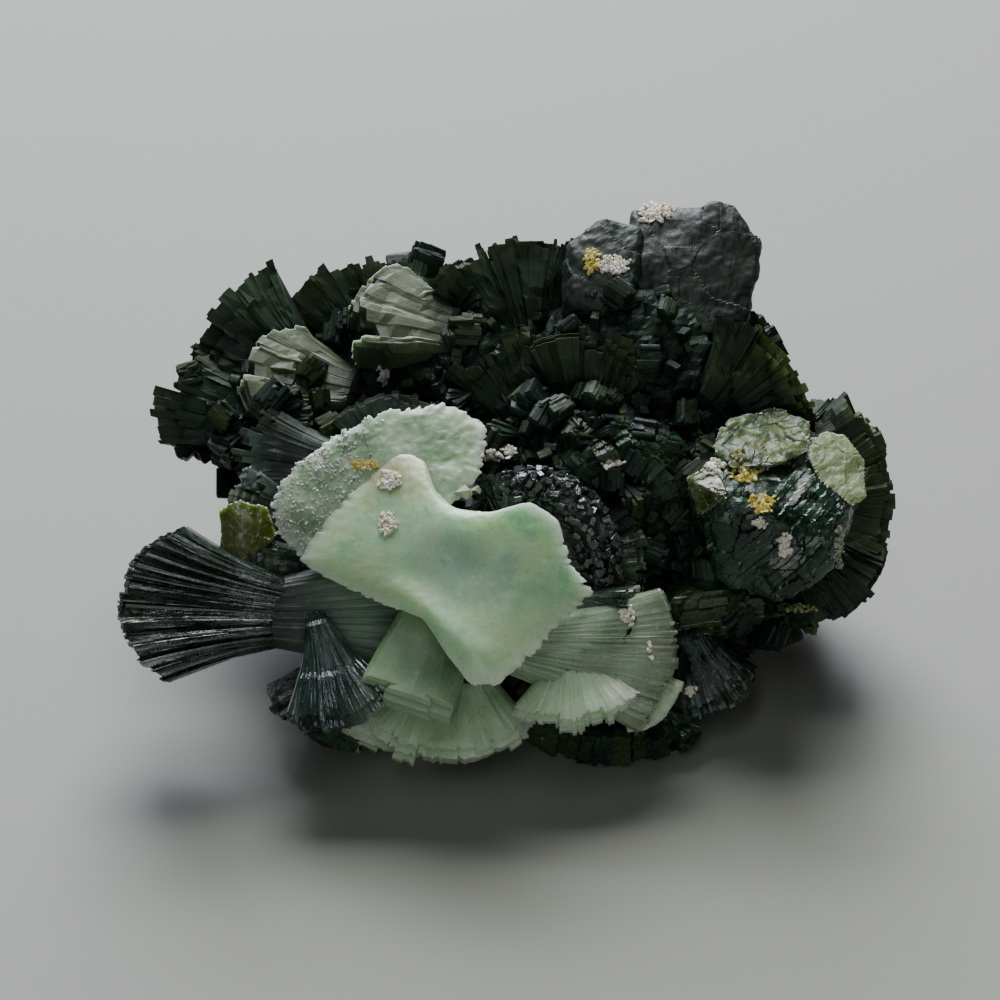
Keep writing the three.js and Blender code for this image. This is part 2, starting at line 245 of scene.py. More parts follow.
class Nodes:
    """A new material's nodes, with short ways to add those that the finishes share."""

    def __init__(self, name: str) -> None:
        """Starts an empty material.

        Args:
            name: what it is.
        """
        self.made = bpy.data.materials.new(name)
        self.made.use_nodes = True
        self.made.node_tree.nodes.clear()
        self.place = self.add("ShaderNodeTexCoord").outputs["Object"]

    def add(self, kind: str, inputs: dict[Any, Any] | None = None, **settings: Any) -> Node:
        """Adds one node, as the function add does."""
        return add(self.made.node_tree, kind, inputs, **settings)

    def read(self, label: str, output: str = "Fac") -> Socket:
        """What a mesh stores at its points under a label."""
        return self.add("ShaderNodeAttribute", attribute_name=label).outputs[output]

    def noise(self, size: float, detail: float, roughness: float = 0.5) -> Node:
        """Noise with patches of about a size in millimetres."""
        return self.add("ShaderNodeTexNoise", {"Vector": self.place, "Scale": 1 / (size * MM),
                                               "Detail": detail, "Roughness": roughness})

    def lines(self, width: float, flatness: float) -> Node:
        """Fine growth lines of a width in millimetres along each crystal."""
        turned = self.add("ShaderNodeMapping", {"Vector": self.read("grain", "Vector"),
                                                "Scale": (0.3, flatness / width, 1.0 / width)})
        return self.add("ShaderNodeTexNoise", {"Vector": turned, "Scale": 1.0, "Detail": 3.0})

    def span(self, value: Any, first: float, last: float, least: float = 0.0, most: float = 1.0,
             **settings: Any) -> Node:
        """Maps first to least and last to most, and clamps what lies beyond."""
        return self.add("ShaderNodeMapRange", {"Value": value, "From Min": first, "From Max": last,
                                               "To Min": least, "To Max": most}, **settings)

    def count(self, operation: str, *values: Any) -> Node:
        """Works out a number from others."""
        return self.add("ShaderNodeMath", dict(enumerate(values)), operation=operation)

    def blend(self, share: Any, under: Any, over: str) -> Socket:
        """Lays a hex colour over another colour by a share."""
        return self.add("ShaderNodeMix", {"Factor_Float": share, "A_Color": under,
                                          "B_Color": linear(over)}, data_type="RGBA").outputs[2]

    def bump(self, height: Any, strength: float, depth: float, **under: Any) -> Node:
        """Roughens the surface by a height whose depth is in millimetres."""
        return self.add("ShaderNodeBump", {"Height": height, "Strength": strength,
                                           "Distance": depth * MM, **under})

    def close(self, values: dict[str, Any]) -> bpy.types.Material:
        """Ends the nodes in one surface.

        Args:
            values: the surface's inputs by name.

        Returns:
            The material.
        """
        surface = self.add("ShaderNodeBsdfPrincipled", values)
        self.add("ShaderNodeOutputMaterial", {"Surface": surface})
        return self.made


@dataclass(frozen=True)
class DarkPrehnite:
    """Iron-rich prehnite, near black green. The olive at the thin ends is painted glow: it stands for light
    that passes them.

    The faces are glassy with fine lines along each crystal, so highlights break into streaks.
    """

    name: str = "dark prehnite crystal"
    deep: str = "#0f2117"
    body: str = "#26432f"
    edge: str = "#454f22"
    frost: str = "#5d6a60"
    edge_share: float = 0.7
    polish: Size = (0.16, 0.46)
    patch_mm: float = 4.0
    line_mm: float = 0.22
    line_depth_mm: float = 0.09
    grit_mm: float = 0.12
    shine: float = 0.5
    slot: ClassVar[Slot] = Slot.DARK

    def material(self) -> bpy.types.Material:
        """Builds the material.

        Returns:
            The material.
        """
        nodes = Nodes(self.name)
        patches = nodes.span(nodes.noise(self.patch_mm, 4.0, 0.6), 0.42, 0.66)
        ends = nodes.span(nodes.read("reach"), 0.66, 1.02)
        lots = nodes.span(nodes.read("lot"), 0.2, 1.0)
        # Painted glow: olive laid on the crystals' ends, standing for light that passes their thin edges
        olive = nodes.count("MULTIPLY", nodes.count("MULTIPLY", ends, lots), self.edge_share)
        specks = nodes.noise(0.5, 3.0, 0.7)
        bloom = nodes.span(specks, 0.6, 0.8, 0.0, 0.35)
        shown = nodes.blend(patches, linear(self.deep), self.body)
        shown = nodes.blend(bloom, nodes.blend(olive, shown, self.edge), self.frost)
        cut = nodes.bump(nodes.lines(self.line_mm, 0.35), 0.7, self.line_depth_mm)
        cut = nodes.bump(nodes.noise(self.grit_mm, 2.0), 0.5, 0.02, Normal=cut)
        return nodes.close({"Base Color": shown, "Roughness": nodes.span(specks, 0.35, 0.7, *self.polish),
                            "IOR": 1.63, "Normal": cut, "Specular IOR Level": self.shine})


@dataclass(frozen=True)
class PalePrehnite:
    """Pale green prehnite, cloudy like jade: light enters, scatters and glows through thin edges."""

    name: str = "pale prehnite crystal"
    body: str = "#93b18c"
    cloud: str = "#b9c9ae"
    shade: str = "#5b7467"
    root: str = "#1d2b27"
    root_share: float = 1.0
    root_end: float = 0.4
    tip: str = "#b4c2aa"
    tip_share: float = 0.35
    tip_start: float = 0.86
    roughness: float = 0.34
    cloud_mm: float = 4.5
    line_mm: float = 0.3
    relief_mm: float = 0.06
    clearness: float = 0.15
    glow_mm: float = 1.4
    stain: str = "#9c9350"
    stain_at: Place = (0.0, 0.0, 0.0)
    stain_mm: float = 0.01
    frost: str = "#dfe6d6"
    frost_share: float = 0.12
    shine: float = 0.5
    slot: ClassVar[Slot] = Slot.PALE

    def material(self) -> bpy.types.Material:
        """Builds the material.

        Returns:
            The material.
        """
        nodes = Nodes(self.name)
        reach = nodes.read("reach")
        clouds = nodes.noise(self.cloud_mm, 4.0, 0.55)
        gap = nodes.add("ShaderNodeVectorMath", {0: nodes.place, 1: in_frame(self.stain_at) * MM},
                        operation="DISTANCE").outputs["Value"]
        stain = self.stain_mm * MM
        veil = nodes.count("MULTIPLY_ADD", clouds, -2 * stain, gap)
        inner = nodes.span(reach, self.root_end, 0.0, 0.0, self.root_share,
                           interpolation_type="SMOOTHSTEP")
        shown: Any = linear(self.body)
        for share, colour in (
                (nodes.span(clouds, 0.48, 0.72), self.cloud), (nodes.span(clouds, 0.5, 0.3), self.shade),
                (inner, self.root), (nodes.span(reach, self.tip_start, 1.0, 0.0, self.tip_share), self.tip),
                (nodes.span(nodes.noise(0.4, 4.0, 0.7), 0.58, 0.72, 0.0, self.frost_share), self.frost),
                (nodes.span(veil, 0.0, -0.8 * stain, 0.0, 0.8), self.stain)):
            shown = nodes.blend(share, shown, colour)
        grit = nodes.noise(0.25, 3.0)
        rough = nodes.span(grit, 0.3, 0.7, self.roughness - 0.1, self.roughness + 0.12)
        cut = nodes.bump(nodes.lines(self.line_mm, 0.4), 0.5, self.relief_mm)
        cut = nodes.bump(grit, 0.4, 0.4 * self.relief_mm, Normal=cut)
        return nodes.close({
            "Base Color": shown, "Roughness": rough, "IOR": 1.62, "Normal": cut,
            "Subsurface Weight": 0.75, "Subsurface Radius": (0.8, 1.0, 0.75),
            "Subsurface Scale": self.glow_mm * MM, "Transmission Weight": self.clearness,
            "Specular IOR Level": self.shine})


@dataclass(frozen=True)
class CalciteGrains:
    """Crusted calcite: dull, bright and sugary, so it reads as specks on the glassy crystals."""

    name: str
    pale: str
    stain: str
    stain_share: float
    slot: ClassVar[Slot] = Slot.CALCITE

    def material(self) -> bpy.types.Material:
        """Builds the material.

        Returns:
            The material.
        """
        nodes = Nodes(self.name)
        share = nodes.span(nodes.noise(0.7, 3.0), 0.62 - self.stain_share, 0.9 - self.stain_share)
        return nodes.close({
            "Base Color": nodes.blend(share, linear(self.pale), self.stain), "Roughness": 0.55,
            "IOR": 1.55, "Normal": nodes.bump(nodes.noise(0.1, 2.0), 0.5, 0.03),
            "Subsurface Weight": 0.3, "Subsurface Radius": (0.5, 0.5, 0.4),
            "Subsurface Scale": 0.5 * MM})


@dataclass(frozen=True)
class PlainTable:
    """A matt pale gray surface, which shows the specimen and its soft shadow only."""

    name: str = "matt pale gray board"
    colour: str = "#8f9188"

    def material(self) -> bpy.types.Material:
        """Builds the material."""
        return Nodes(self.name).close({"Base Color": linear(self.colour), "Roughness": 0.7})


# Meshes


def as_mesh(work: bmesh.types.BMesh, name: str) -> Mesh:
    """Turns a working mesh into a plain one and frees it.

    Args:
        work: the working mesh.
        name: the new mesh's name.

    Returns:
        The new mesh.
    """
    mesh = bpy.data.meshes.new(name)
    work.to_mesh(mesh)
    work.free()
    return mesh


def joined(meshes: list[Mesh], name: str) -> Mesh:
    """Puts several meshes into a new one.

    Args:
        meshes: what goes into it. They stay as they are.
        name: the new mesh's name.

    Returns:
        The new mesh.
    """
    work = bmesh.new()
    for mesh in meshes:
        work.from_mesh(mesh)
    return as_mesh(work, name)


def closed_mesh(name: str, points: np.ndarray, faces: list[tuple[int, ...]]) -> Mesh:
    """A mesh of points and faces that looks outwards.

    Args:
        name: its name.
        points: one a row.
        faces: point numbers, closed all around.

    Returns:
        The mesh.
    """
    mesh = bpy.data.meshes.new(name)
    mesh.from_pydata(points.tolist(), [], faces)
    work = bmesh.new()
    work.from_mesh(mesh)
    bmesh.ops.recalc_face_normals(work, faces=work.faces)
    work.to_mesh(mesh)
    work.free()
    return mesh


def tube_faces(rings: int, count: int) -> list[tuple[int, ...]]:
    """The faces of a closed tube.

    Args:
        rings: how many rings of points it has, one after the other.
        count: how many points a ring has.

    Returns:
        Both ends and the sides, as point numbers.
    """
    faces = [tuple(range(count)), tuple(range((rings - 1) * count, rings * count))[::-1]]
    for low in range(0, (rings - 1) * count, count):
        for i in range(count):
            j = (i + 1) % count
            faces.append((low + j, low + i, low + count + i, low + count + j))
    return faces


def hull_mesh(points: Any, name: str) -> Mesh:
    """The closed hull of points.

    Args:
        points: one a row.
        name: the mesh's name.

    Returns:
        The hull's mesh.
    """
    work = bmesh.new()
    for point in points:
        work.verts.new(point)
    result = bmesh.ops.convex_hull(work, input=work.verts)
    unused = [v for v in result["geom_interior"] if isinstance(v, bmesh.types.BMVert)]
    bmesh.ops.delete(work, geom=unused, context="VERTS")
    bmesh.ops.recalc_face_normals(work, faces=work.faces)
    return as_mesh(work, name)


def crystal_mesh(end: End) -> Mesh:
    """A flat crystal of unit length, width and thickness along X, with chamfered edges.

    Args:
        end: how its free end is shaped.

    Returns:
        A closed mesh of eight-sided sections.
    """
    sections = [(-BURIED, 1.0, 1.0, 0.0, 0.0), (0.88, 1.0, 1.0, 0.0, 0.0), *end.value]
    outline = [(0.5, 0.5 - CHAMFER_THICK), (0.5 - CHAMFER_WIDE, 0.5)]
    corners = [(sy * y, sz * z) for sy, sz in ((1, 1), (-1, 1), (-1, -1), (1, -1))
               for y, z in (outline if sy * sz > 0 else outline[::-1])]
    points = [(along + slant * y, wide * y + shift, thick * z)
              for along, wide, thick, slant, shift in sections for y, z in corners]
    return closed_mesh(end.name.lower(), np.array(points), tube_faces(len(sections), len(corners)))


def tuft_mesh(seed: int, crystals: int = 8, spread: float = 1.1) -> Mesh:
    """A short fan of a few flat crystals of unit length along X, for strewing.

    Args:
        seed: the draw of its crystals.
        crystals: how many it has.
        spread: its whole angle in radians.

    Returns:
        The tuft's mesh.
    """
    rng = np.random.default_rng(seed)
    ends = list(End)
    meshes = []
    for number in range(crystals):
        mesh = crystal_mesh(ends[rng.integers(len(ends))])
        place = (number + 0.5) / crystals * 2 - 1
        size = (1 - 0.15 * place * place) * rng.uniform(0.8, 1.0)
        turn = Matrix.Rotation(-place * spread / 2, 4, "Y") @ Matrix.Rotation(rng.normal(0, 0.06), 4, "Z")
        slide = Matrix.Translation((0.0, rng.normal(0, 0.06), place * 0.12))
        mesh.transform(slide @ turn @ Matrix.Diagonal((size, rng.uniform(0.7, 1.0), 0.21, 1.0)))
        meshes.append(mesh)
    return joined(meshes, f"tuft_{seed}")


def grain_mesh(seed: int) -> Mesh:
    """A small irregular grain: the hull of a few points about a unit ball.

    Args:
        seed: which grain of the endless choice.

    Returns:
        A closed mesh of about 16 triangles.
    """
    rng = np.random.default_rng(seed)
    points = rng.normal(size=(11, 3))
    points /= np.linalg.norm(points, axis=1, keepdims=True)
    points *= rng.uniform(0.4, 0.55, size=(11, 1))
    return hull_mesh(points, f"grain_{seed}")


def baked(host: Piece) -> Mesh:
    """What an object's modifiers make of it, as a plain mesh. The object is removed.

    Args:
        host: the object.

    Returns:
        The mesh.
    """
    graph = bpy.context.evaluated_depsgraph_get()
    mesh = bpy.data.meshes.new_from_object(host.evaluated_get(graph), preserve_all_data_layers=True,
                                           depsgraph=graph)
    host.modifiers.clear()
    bpy.data.objects.remove(host)
    return mesh


def remeshed(meshes: list[Mesh], cell: float, name: str) -> Mesh:
    """Joins overlapping closed meshes in one even skin.

    Args:
        meshes: the closed meshes.
        cell: the skin's cell, in the meshes' unit.
        name: the new mesh's name.

    Returns:
        The skin.
    """
    host = placed(name, joined(meshes, name))
    modifier = host.modifiers.new("skin", "REMESH")
    modifier.mode = "VOXEL"
    modifier.voxel_size = cell
    return baked(host)


def vectors(mesh: Mesh, kind: str = "co") -> np.ndarray:
    """The places of a mesh's points, or their normals.

    Args:
        mesh: the mesh.
        kind: co for places, normal for normals.

    Returns:
        One a row.
    """
    values = np.empty(len(mesh.vertices) * 3)
    mesh.vertices.foreach_get(kind, values)
    return values.reshape(-1, 3)


def move_to(mesh: Mesh, places: np.ndarray) -> None:
    """Moves a mesh's points."""
    mesh.vertices.foreach_set("co", places.ravel())
    mesh.update()


def store(mesh: Mesh, values: dict[str, np.ndarray]) -> None:
    """Stores values at a mesh's points, as vectors or plain numbers by name.

    Args:
        mesh: the mesh.
        values: one row or one number for each point.
    """
    for label, value in values.items():
        vector = value.ndim == 2
        layer = mesh.attributes.new(label, "FLOAT_VECTOR" if vector else "FLOAT", "POINT")
        layer.data.foreach_set("vector" if vector else "value", value.ravel())


def give_attributes(mesh: Mesh, along: Place, reach: float | np.ndarray,
                    crust: float | np.ndarray = 1.0) -> None:
    """Stores what the finishes read on a mesh that isn't made of single crystals.

    Args:
        mesh: the mesh, in millimetres.
        along: the direction of its growth lines.
        reach: how olive it is, from 0 to 1.
        crust: where small crystals may stand.
    """
    places = vectors(mesh)
    axis = Vector(along).normalized()
    side = axis.orthogonal().normalized()
    turn = np.array((axis, side, axis.cross(side)))
    flat = np.zeros(len(places))
    store(mesh, {"grain": places @ turn.T, "reach": flat + reach, "crust": flat + crust,
                 "lot": 0.5 + 0.5 * bumps(places, 3.0, 2, 3.0)})


def carve(mesh: Mesh, layering: Place, layer: float, step: float, relief: float, seed: float,
          facet: Size = (2.4, 0.4)) -> None:
    """Gives a skin the ledges of a crystal that grew in layers, and small uneven facets.

    Args:
        mesh: the skin, in millimetres.
        layering: the direction in which the layers are stacked.
        layer: a layer's thickness.
        step: how far a layer may stand out.
        relief: how deep the unevenness is.
        seed: the draw.
        facet: how wide the facets are, and how far they tilt in and out.
    """
    places, normals = vectors(mesh), vectors(mesh, "normal")
    way = np.array(Vector(layering).normalized())
    number = np.floor((places @ way + 0.5 * bumps(places, 6.0, 2, seed)) / layer)
    side = 1 - np.abs(normals @ way)
    move = step * (chance(number, seed) - 0.5) * smooth(side, 0.15, 0.7)
    move += relief * bumps(places, 1.6, 3, seed + 5)
    move += facet[1] * facets(places, facet[0], seed)
    move_to(mesh, places + normals * move[:, None])


def layered(corners: list[Vector], layering: Place, layers: Size, slip: float, seed: int) -> Mesh:
    """A thick crystal as a stack of flat layers that end in small ledges.

    Args:
        corners: the corners of its hull.
        layering: the direction in which the layers are stacked.
        layers: the thinnest and the thickest layer.
        slip: how far a layer may stand in or out.
        seed: the draw.

    Returns:
        The closed layers in one mesh.
    """
    rng = np.random.default_rng(seed)
    way = Vector(layering).normalized()
    hull = hull_mesh(corners, "hull")
    levels = [corner.dot(way) for corner in corners]
    middle = sum(corners, Vector()) / len(corners)
    parts = []
    low = min(levels)
    while low < max(levels):
        high = low + rng.uniform(*layers)
        layer = bmesh.new()
        layer.from_mesh(hull)
        for level, outward in ((low - 0.1, -way), (high, way)):
            cut = bmesh.ops.bisect_plane(layer, geom=layer.verts[:] + layer.edges[:] + layer.faces[:],
                                         plane_co=way * level, plane_no=outward, clear_outer=True)
            rim = [e for e in cut["geom_cut"] if isinstance(e, bmesh.types.BMEdge)]
            if rim:
                bmesh.ops.contextual_create(layer, geom=rim)
        size = 1 + rng.uniform(-slip, 0.3 * slip)
        shift = Vector(rng.normal(0, slip * 1.2, size=3))
        shift -= way * shift.dot(way)
        for corner in layer.verts:
            across = corner.co - middle
            depth = way * across.dot(way)
            corner.co = middle + depth + (across - depth) * size + shift
        if len(layer.faces) > 3:
            bmesh.ops.recalc_face_normals(layer, faces=layer.faces)
            parts.append(as_mesh(layer, "layer"))
        low = high
    return joined(parts, "layers")


class CrustTool:
    """A Geometry Nodes tree that strews small shapes over a surface, standing on its faces."""

    INPUTS = {"Surface": "Object", "Density": "Float", "Least": "Vector", "Most": "Vector",
              "Tilt": "Float", "Seed": "Int", "Material": "Material"}

    def __init__(self, name: str, shapes: list[Mesh]) -> None:
        """Builds the tree once.

        Args:
            name: the tree's name.
            shapes: the small meshes, each about one unit long.
        """
        self.tree = bpy.data.node_groups.new(name, "GeometryNodeTree")
        sockets = self.tree.interface
        sockets.new_socket(name="Mesh", in_out="OUTPUT", socket_type="NodeSocketGeometry")
        self.identifiers = {
            label: sockets.new_socket(name=label, in_out="INPUT",
                                      socket_type=f"NodeSocket{kind}").identifier
            for label, kind in self.INPUTS.items()}
        self.given = self._add("NodeGroupInput").outputs
        surface = self._add("GeometryNodeObjectInfo", {"Object": self.given["Surface"]})
        density = self._add("ShaderNodeMath", {0: self._read("crust", "FLOAT"), 1: self.given["Density"]},
                            operation="MULTIPLY")
        spots = self._add("GeometryNodeDistributePointsOnFaces",
                          {"Mesh": surface.outputs["Geometry"], "Density": density,
                           "Seed": self.given["Seed"]}, distribute_method="RANDOM")
        up = self._add("FunctionNodeAlignRotationToVector", {"Vector": spots.outputs["Normal"]}, axis="X")
        lean = self._random(1, "FLOAT_VECTOR", Min=(-8.0, -1.0, -1.0), Max=(8.0, 1.0, 1.0))
        lean = self._add("ShaderNodeVectorMath", {0: lean, "Scale": self.given["Tilt"]},
                         operation="SCALE")
        lean = self._add("FunctionNodeEulerToRotation", {0: lean})
        turned = self._add("FunctionNodeRotateRotation", {0: up, 1: lean}, rotation_space="LOCAL")
        share = self._random(2, "FLOAT", Min_001=0.0, Max_001=1.0)
        size = self._add("ShaderNodeMix", {
            "Factor_Float": share, "A_Vector": self.given["Least"], "B_Vector": self.given["Most"]},
            data_type="VECTOR").outputs[1]
        points = self._store(spots, "size", size, "FLOAT_VECTOR")
        points = self._store(points, "lot", self._random(3, "FLOAT", Min_001=0.0, Max_001=1.0), "FLOAT")
        which = self._random(4, "INT", Min_002=0, Max_002=len(shapes) - 1).outputs[2]
        grown = self._add("GeometryNodeInstanceOnPoints", {
            "Points": points, "Instance": self._choice(shapes), "Pick Instance": True,
            "Instance Index": which, "Rotation": turned, "Scale": size})
        self._close(grown)

    def _add(self, kind: str, inputs: dict[Any, Any] | None = None, **settings: Any) -> Node:
        """Adds one node, as the function add does."""
        return add(self.tree, kind, inputs, **settings)

    def _read(self, label: str, kind: str) -> Node:
        """What the points store under a label."""
        return self._add("GeometryNodeInputNamedAttribute", {"Name": label}, data_type=kind)

    def _store(self, mesh: Any, label: str, value: Any, kind: str) -> Node:
        """Stores a value at each point under a label."""
        return self._add("GeometryNodeStoreNamedAttribute", {"Geometry": mesh, "Name": label,
                                                             "Value": value},
                         data_type=kind, domain="POINT")

    def _random(self, offset: int, kind: str, **limits: Any) -> Node:
        """A random value between limits, whose seed is the tree's own plus an offset."""
        seed = self._add("FunctionNodeIntegerMath", {0: self.given["Seed"], 1: offset})
        return self._add("FunctionNodeRandomValue", {**limits, "Seed": seed}, data_type=kind)

    def _choice(self, shapes: list[Mesh]) -> Node:
        """The shapes to repeat, each as an instance that remembers its own coordinates.

        Args:
            shapes: the small meshes.

        Returns:
            The node with the joined instances.
        """
        together = self._add("GeometryNodeJoinGeometry")
        for mesh in shapes:
            source = bpy.data.objects.new(mesh.name, mesh)
            shape = self._add("GeometryNodeObjectInfo", {"Object": source}).outputs["Geometry"]
            shape = self._store(shape, "cell", self._add("GeometryNodeInputPosition"), "FLOAT_VECTOR")
            shape = self._add("GeometryNodeGeometryToInstance", {"Geometry": shape})
            self.tree.links.new(shape.outputs[0], together.inputs[0])
        return together

    def _close(self, instances: Node) -> None:
        """Turns the instances into one mesh with the attributes that the finishes read.

        Args:
            instances: the node with the instances.
        """
        mesh = self._add("GeometryNodeRealizeInstances", {"Geometry": instances})
        cell = self._read("cell", "FLOAT_VECTOR")
        real = self._add("ShaderNodeVectorMath", {0: cell, 1: self._read("size", "FLOAT_VECTOR")},
                         operation="MULTIPLY")
        # Each crystal reads its own part of the growth lines, far from the others
        apart = self._add("ShaderNodeVectorMath", {0: (53.0, 71.0, 97.0),
                                                   "Scale": self._read("lot", "FLOAT")},
                          operation="SCALE")
        grain = self._add("ShaderNodeVectorMath", {0: real, 1: apart}, operation="ADD")
        mesh = self._store(mesh, "grain", grain, "FLOAT_VECTOR")
        mesh = self._store(mesh, "reach", self._add("ShaderNodeSeparateXYZ", {0: cell}), "FLOAT")
        mesh = self._add("GeometryNodeSetMaterial", {"Geometry": mesh, "Material": self.given["Material"]})
        self._add("NodeGroupOutput", {0: mesh})

    def strew(self, surface: Mesh, density: float, least: Place, most: Place, tilt: float, seed: int,
              material: bpy.types.Material) -> Mesh:
        """Strews shapes over a surface whose attribute crust says where they stand.

        Args:
            surface: the mesh that carries them.
            density: shapes on a square millimetre.
            least: the smallest length, width and thickness.
            most: the largest ones.
            tilt: how far they lean, in radians.
            seed: the draw.
            material: their finish.

        Returns:
            The shapes' mesh, in millimetres.
        """
        carrier = placed("carrier", surface)
        host = placed("host", bpy.data.meshes.new("host"))
        modifier = host.modifiers.new("tree", "NODES")
        modifier.node_group = self.tree
        for label, value in zip(self.INPUTS, (carrier, density, least, most, tilt, seed, material)):
            modifier[self.identifiers[label]] = value
        mesh = baked(host)
        bpy.data.objects.remove(carrier)
        return mesh


def finished(name: str, meshes: list[Mesh], slot: Slot) -> Piece:
    """Joins meshes in one piece, in metres, and fastens it to the frame.

    Args:
        name: the piece's name.
        meshes: its parts, in millimetres.
        slot: not used.

    Returns:
        The piece.
    """
    parts = [placed(name, mesh) for mesh in meshes]
    piece = parts[0]
    if len(parts) > 1:
        with bpy.context.temp_override(active_object=piece, object=piece, selected_objects=parts,
                                       selected_editable_objects=parts):
            bpy.ops.object.join()
    piece.name = name
    piece.data.name = name
    for label in ("cell", "size"):
        if label in piece.data.attributes:
            piece.data.attributes.remove(piece.data.attributes[label])
    places = vectors(piece.data) * MM
    # The specimen is flat where it rests
    places[:, 2] = np.maximum(places[:, 2], 0.0)
    move_to(piece.data, places)
    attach(piece, BODY)
    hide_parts(NODE)
    triangles = sum(len(face.vertices) - 2 for face in piece.data.polygons)
    log.info("%s: %d triangles", name, triangles)
    return piece


# Sub-assemblies


@dataclass(frozen=True)
class Fan:
    """One sheaf of flat crystals that splay from a waist and have grown together.

    root and tip are the middle of each end, waist the thickness and width at the root, width that
    at the tip, spread the whole angle in degrees, crown the share by which the outer crystals fall
    short, and across the direction of the crystals' width. ragged is how unevenly they end, and
    slip how far a bundle of them stands out sideways. rib is how thick a crystal is, groove how far
    it stands out, layers how many end steps the width has, terrace how far these lie apart, square
    how boxy the section is, band how far the outer part stands out from a step at half its length,
    and broken how deep flat breaks go.
    """

    root: Place
    tip: Place
    waist: Size
    width: float
    spread: float
    crown: float = 0.1
    across: Across = Across.FACING
    ragged: float = 0.1
    slip: float = 0.22
    rib: float = 0.24
    groove: float = 0.05
    layers: int = 5
    terrace: float = 0.1
    square: float = 4.0
    band: float = 0.0
    broken: float = 0.0

    def placement(self) -> Matrix:
        """Where the fan grows.

        Returns:
            The turn and shift that take it there from the origin along X.
        """
        root = in_frame(self.root)
        axis = (in_frame(self.tip) - root).normalized()
        width = Vector(self.across.value)
        width = (width - axis * width.dot(axis)).normalized()
        turn = Matrix((axis, width, axis.cross(width))).transposed().to_4x4()
        return Matrix.Translation(root) @ turn

    def _ribs(self, rng: np.random.Generator, thickness: float) -> dict[str, np.ndarray]:
        """The ribs of the fan, as two columns of points for each.

        Args:
            rng: the draw.
            thickness: of the fan at its tip, in millimetres.

        Returns:
            For each column its place from -1 to 1, how far it stands out, where it ends as a share
            of the length, its lot, and the share at which each end step lies.
        """
        count = max(6, round(thickness / self.rib))
        edges = np.cumsum(rng.uniform(0.35, 1.65, size=count + 1))
        edges = 2 * (edges - edges[0]) / (edges[-1] - edges[0]) - 1
        gap = 0.04 * np.diff(edges)
        place = np.stack([edges[:-1] + gap, edges[1:] - gap], axis=1).ravel()
        bundle = np.cumsum(rng.uniform(size=count) < 0.2)
        bundles = bundle[-1] + 1
        out = self.groove * rng.normal(size=count) + self.slip * rng.uniform(-1, 1, bundles)[bundle]
        lean = self.groove * rng.normal(size=count)
        torn = self.ragged * (0.4 * rng.uniform(size=count) + rng.uniform(size=bundles)[bundle])
        steps = rng.uniform(size=(bundles, self.layers)) * 0.6
        steps += np.linspace(-1, 1, self.layers) ** 2 * 0.5
        return {"place": place, "out": np.stack([out - lean, out + lean], axis=1).ravel(),
                "end": 1 - self.crown * place ** 2 - np.repeat(torn, 2),
                "lot": np.repeat(rng.uniform(size=bundles)[bundle], 2),
                "steps": 1 - self.terrace * np.repeat(steps[bundle], 2, axis=0)}

    def mesh(self, seed: int, material: bpy.types.Material) -> Mesh:
        """The fan as one ribbed body.

        Args:
            seed: the draw of its ribs.
            material: its finish.

        Returns:
            A closed mesh, in millimetres.
        """
        rng = np.random.default_rng(seed)
        length = (Vector(self.tip) - Vector(self.root)).length
        thickness = length * self.spread * DEGREE + self.waist[0]
        ribs = self._ribs(rng, thickness)
        place = ribs["place"][:, None]
        columns = len(place)
        first, last = ribs["steps"][:, :1], ribs["steps"][:, -1:]
        share = np.concatenate([STATIONS * first, np.repeat(ribs["steps"], 2, axis=1),
                                STATIONS[::-1] * last], axis=1)
        levels = np.repeat(np.linspace(1, -1, self.layers + 1), 2)[1:-1]
        side = np.concatenate([np.ones(len(STATIONS)), levels, -np.ones(len(STATIONS))])
        along = share * ribs["end"][:, None] * length
        half = 0.5 * (self.waist[1] + (self.width - self.waist[1]) * share)
        half *= 0.45 + 0.55 * (1 - np.abs(place) ** self.square) ** 0.5
        waves = np.sin(share * rng.uniform(3, 9, size=(columns, 1)) + rng.uniform(0, 6, (columns, 1)))
        half += ribs["out"][:, None] * (0.75 + 0.25 * waves) * np.clip(share + 0.3, 0.0, 1.0)
        half += self.band * smooth(share, 0.49, 0.55)
        half *= 0.3 + 0.7 * smooth(share, -BURIED, 0.05)
        angle = place * self.spread * DEGREE / 2 * (0.6 + 0.4 * share)
        flat = np.stack([along * np.cos(angle), half * side,
                         place * self.waist[0] / 2 + along * np.sin(angle)], axis=2).reshape(-1, 3)
        flat[:, 1] += 0.05 * self.width * bumps(flat, 0.6 * self.width, 2, seed)
        if self.broken:
            flat[:, 1] += self.broken * facets(flat, 2.2, seed)
        size = len(side)
        mesh = closed_mesh("fan", flat, tube_faces(columns, size))
        grain = np.stack([along, half * side, place * thickness / 2 + 0 * share], axis=2)
        store(mesh, {"grain": grain.reshape(-1, 3), "reach": share.ravel(),
                     "lot": np.repeat(ribs["lot"], size), "crust": np.ones(columns * size)})
        mesh.materials.append(material)
        mesh.transform(self.placement())
        return mesh


@dataclass(frozen=True)
class Sheaves:
    """A group of fans with one finish."""

    name: str
    seed: int
    finish: DarkPrehnite | PalePrehnite
    fans: tuple[Fan, ...]

    def build(self) -> Piece:
        """Grows the fans.

        Returns:
            The finished piece.
        """
        material = self.finish.material()
        meshes = [fan.mesh(self.seed + number, material) for number, fan in enumerate(self.fans)]
        return finished(self.name, meshes, self.finish.slot)


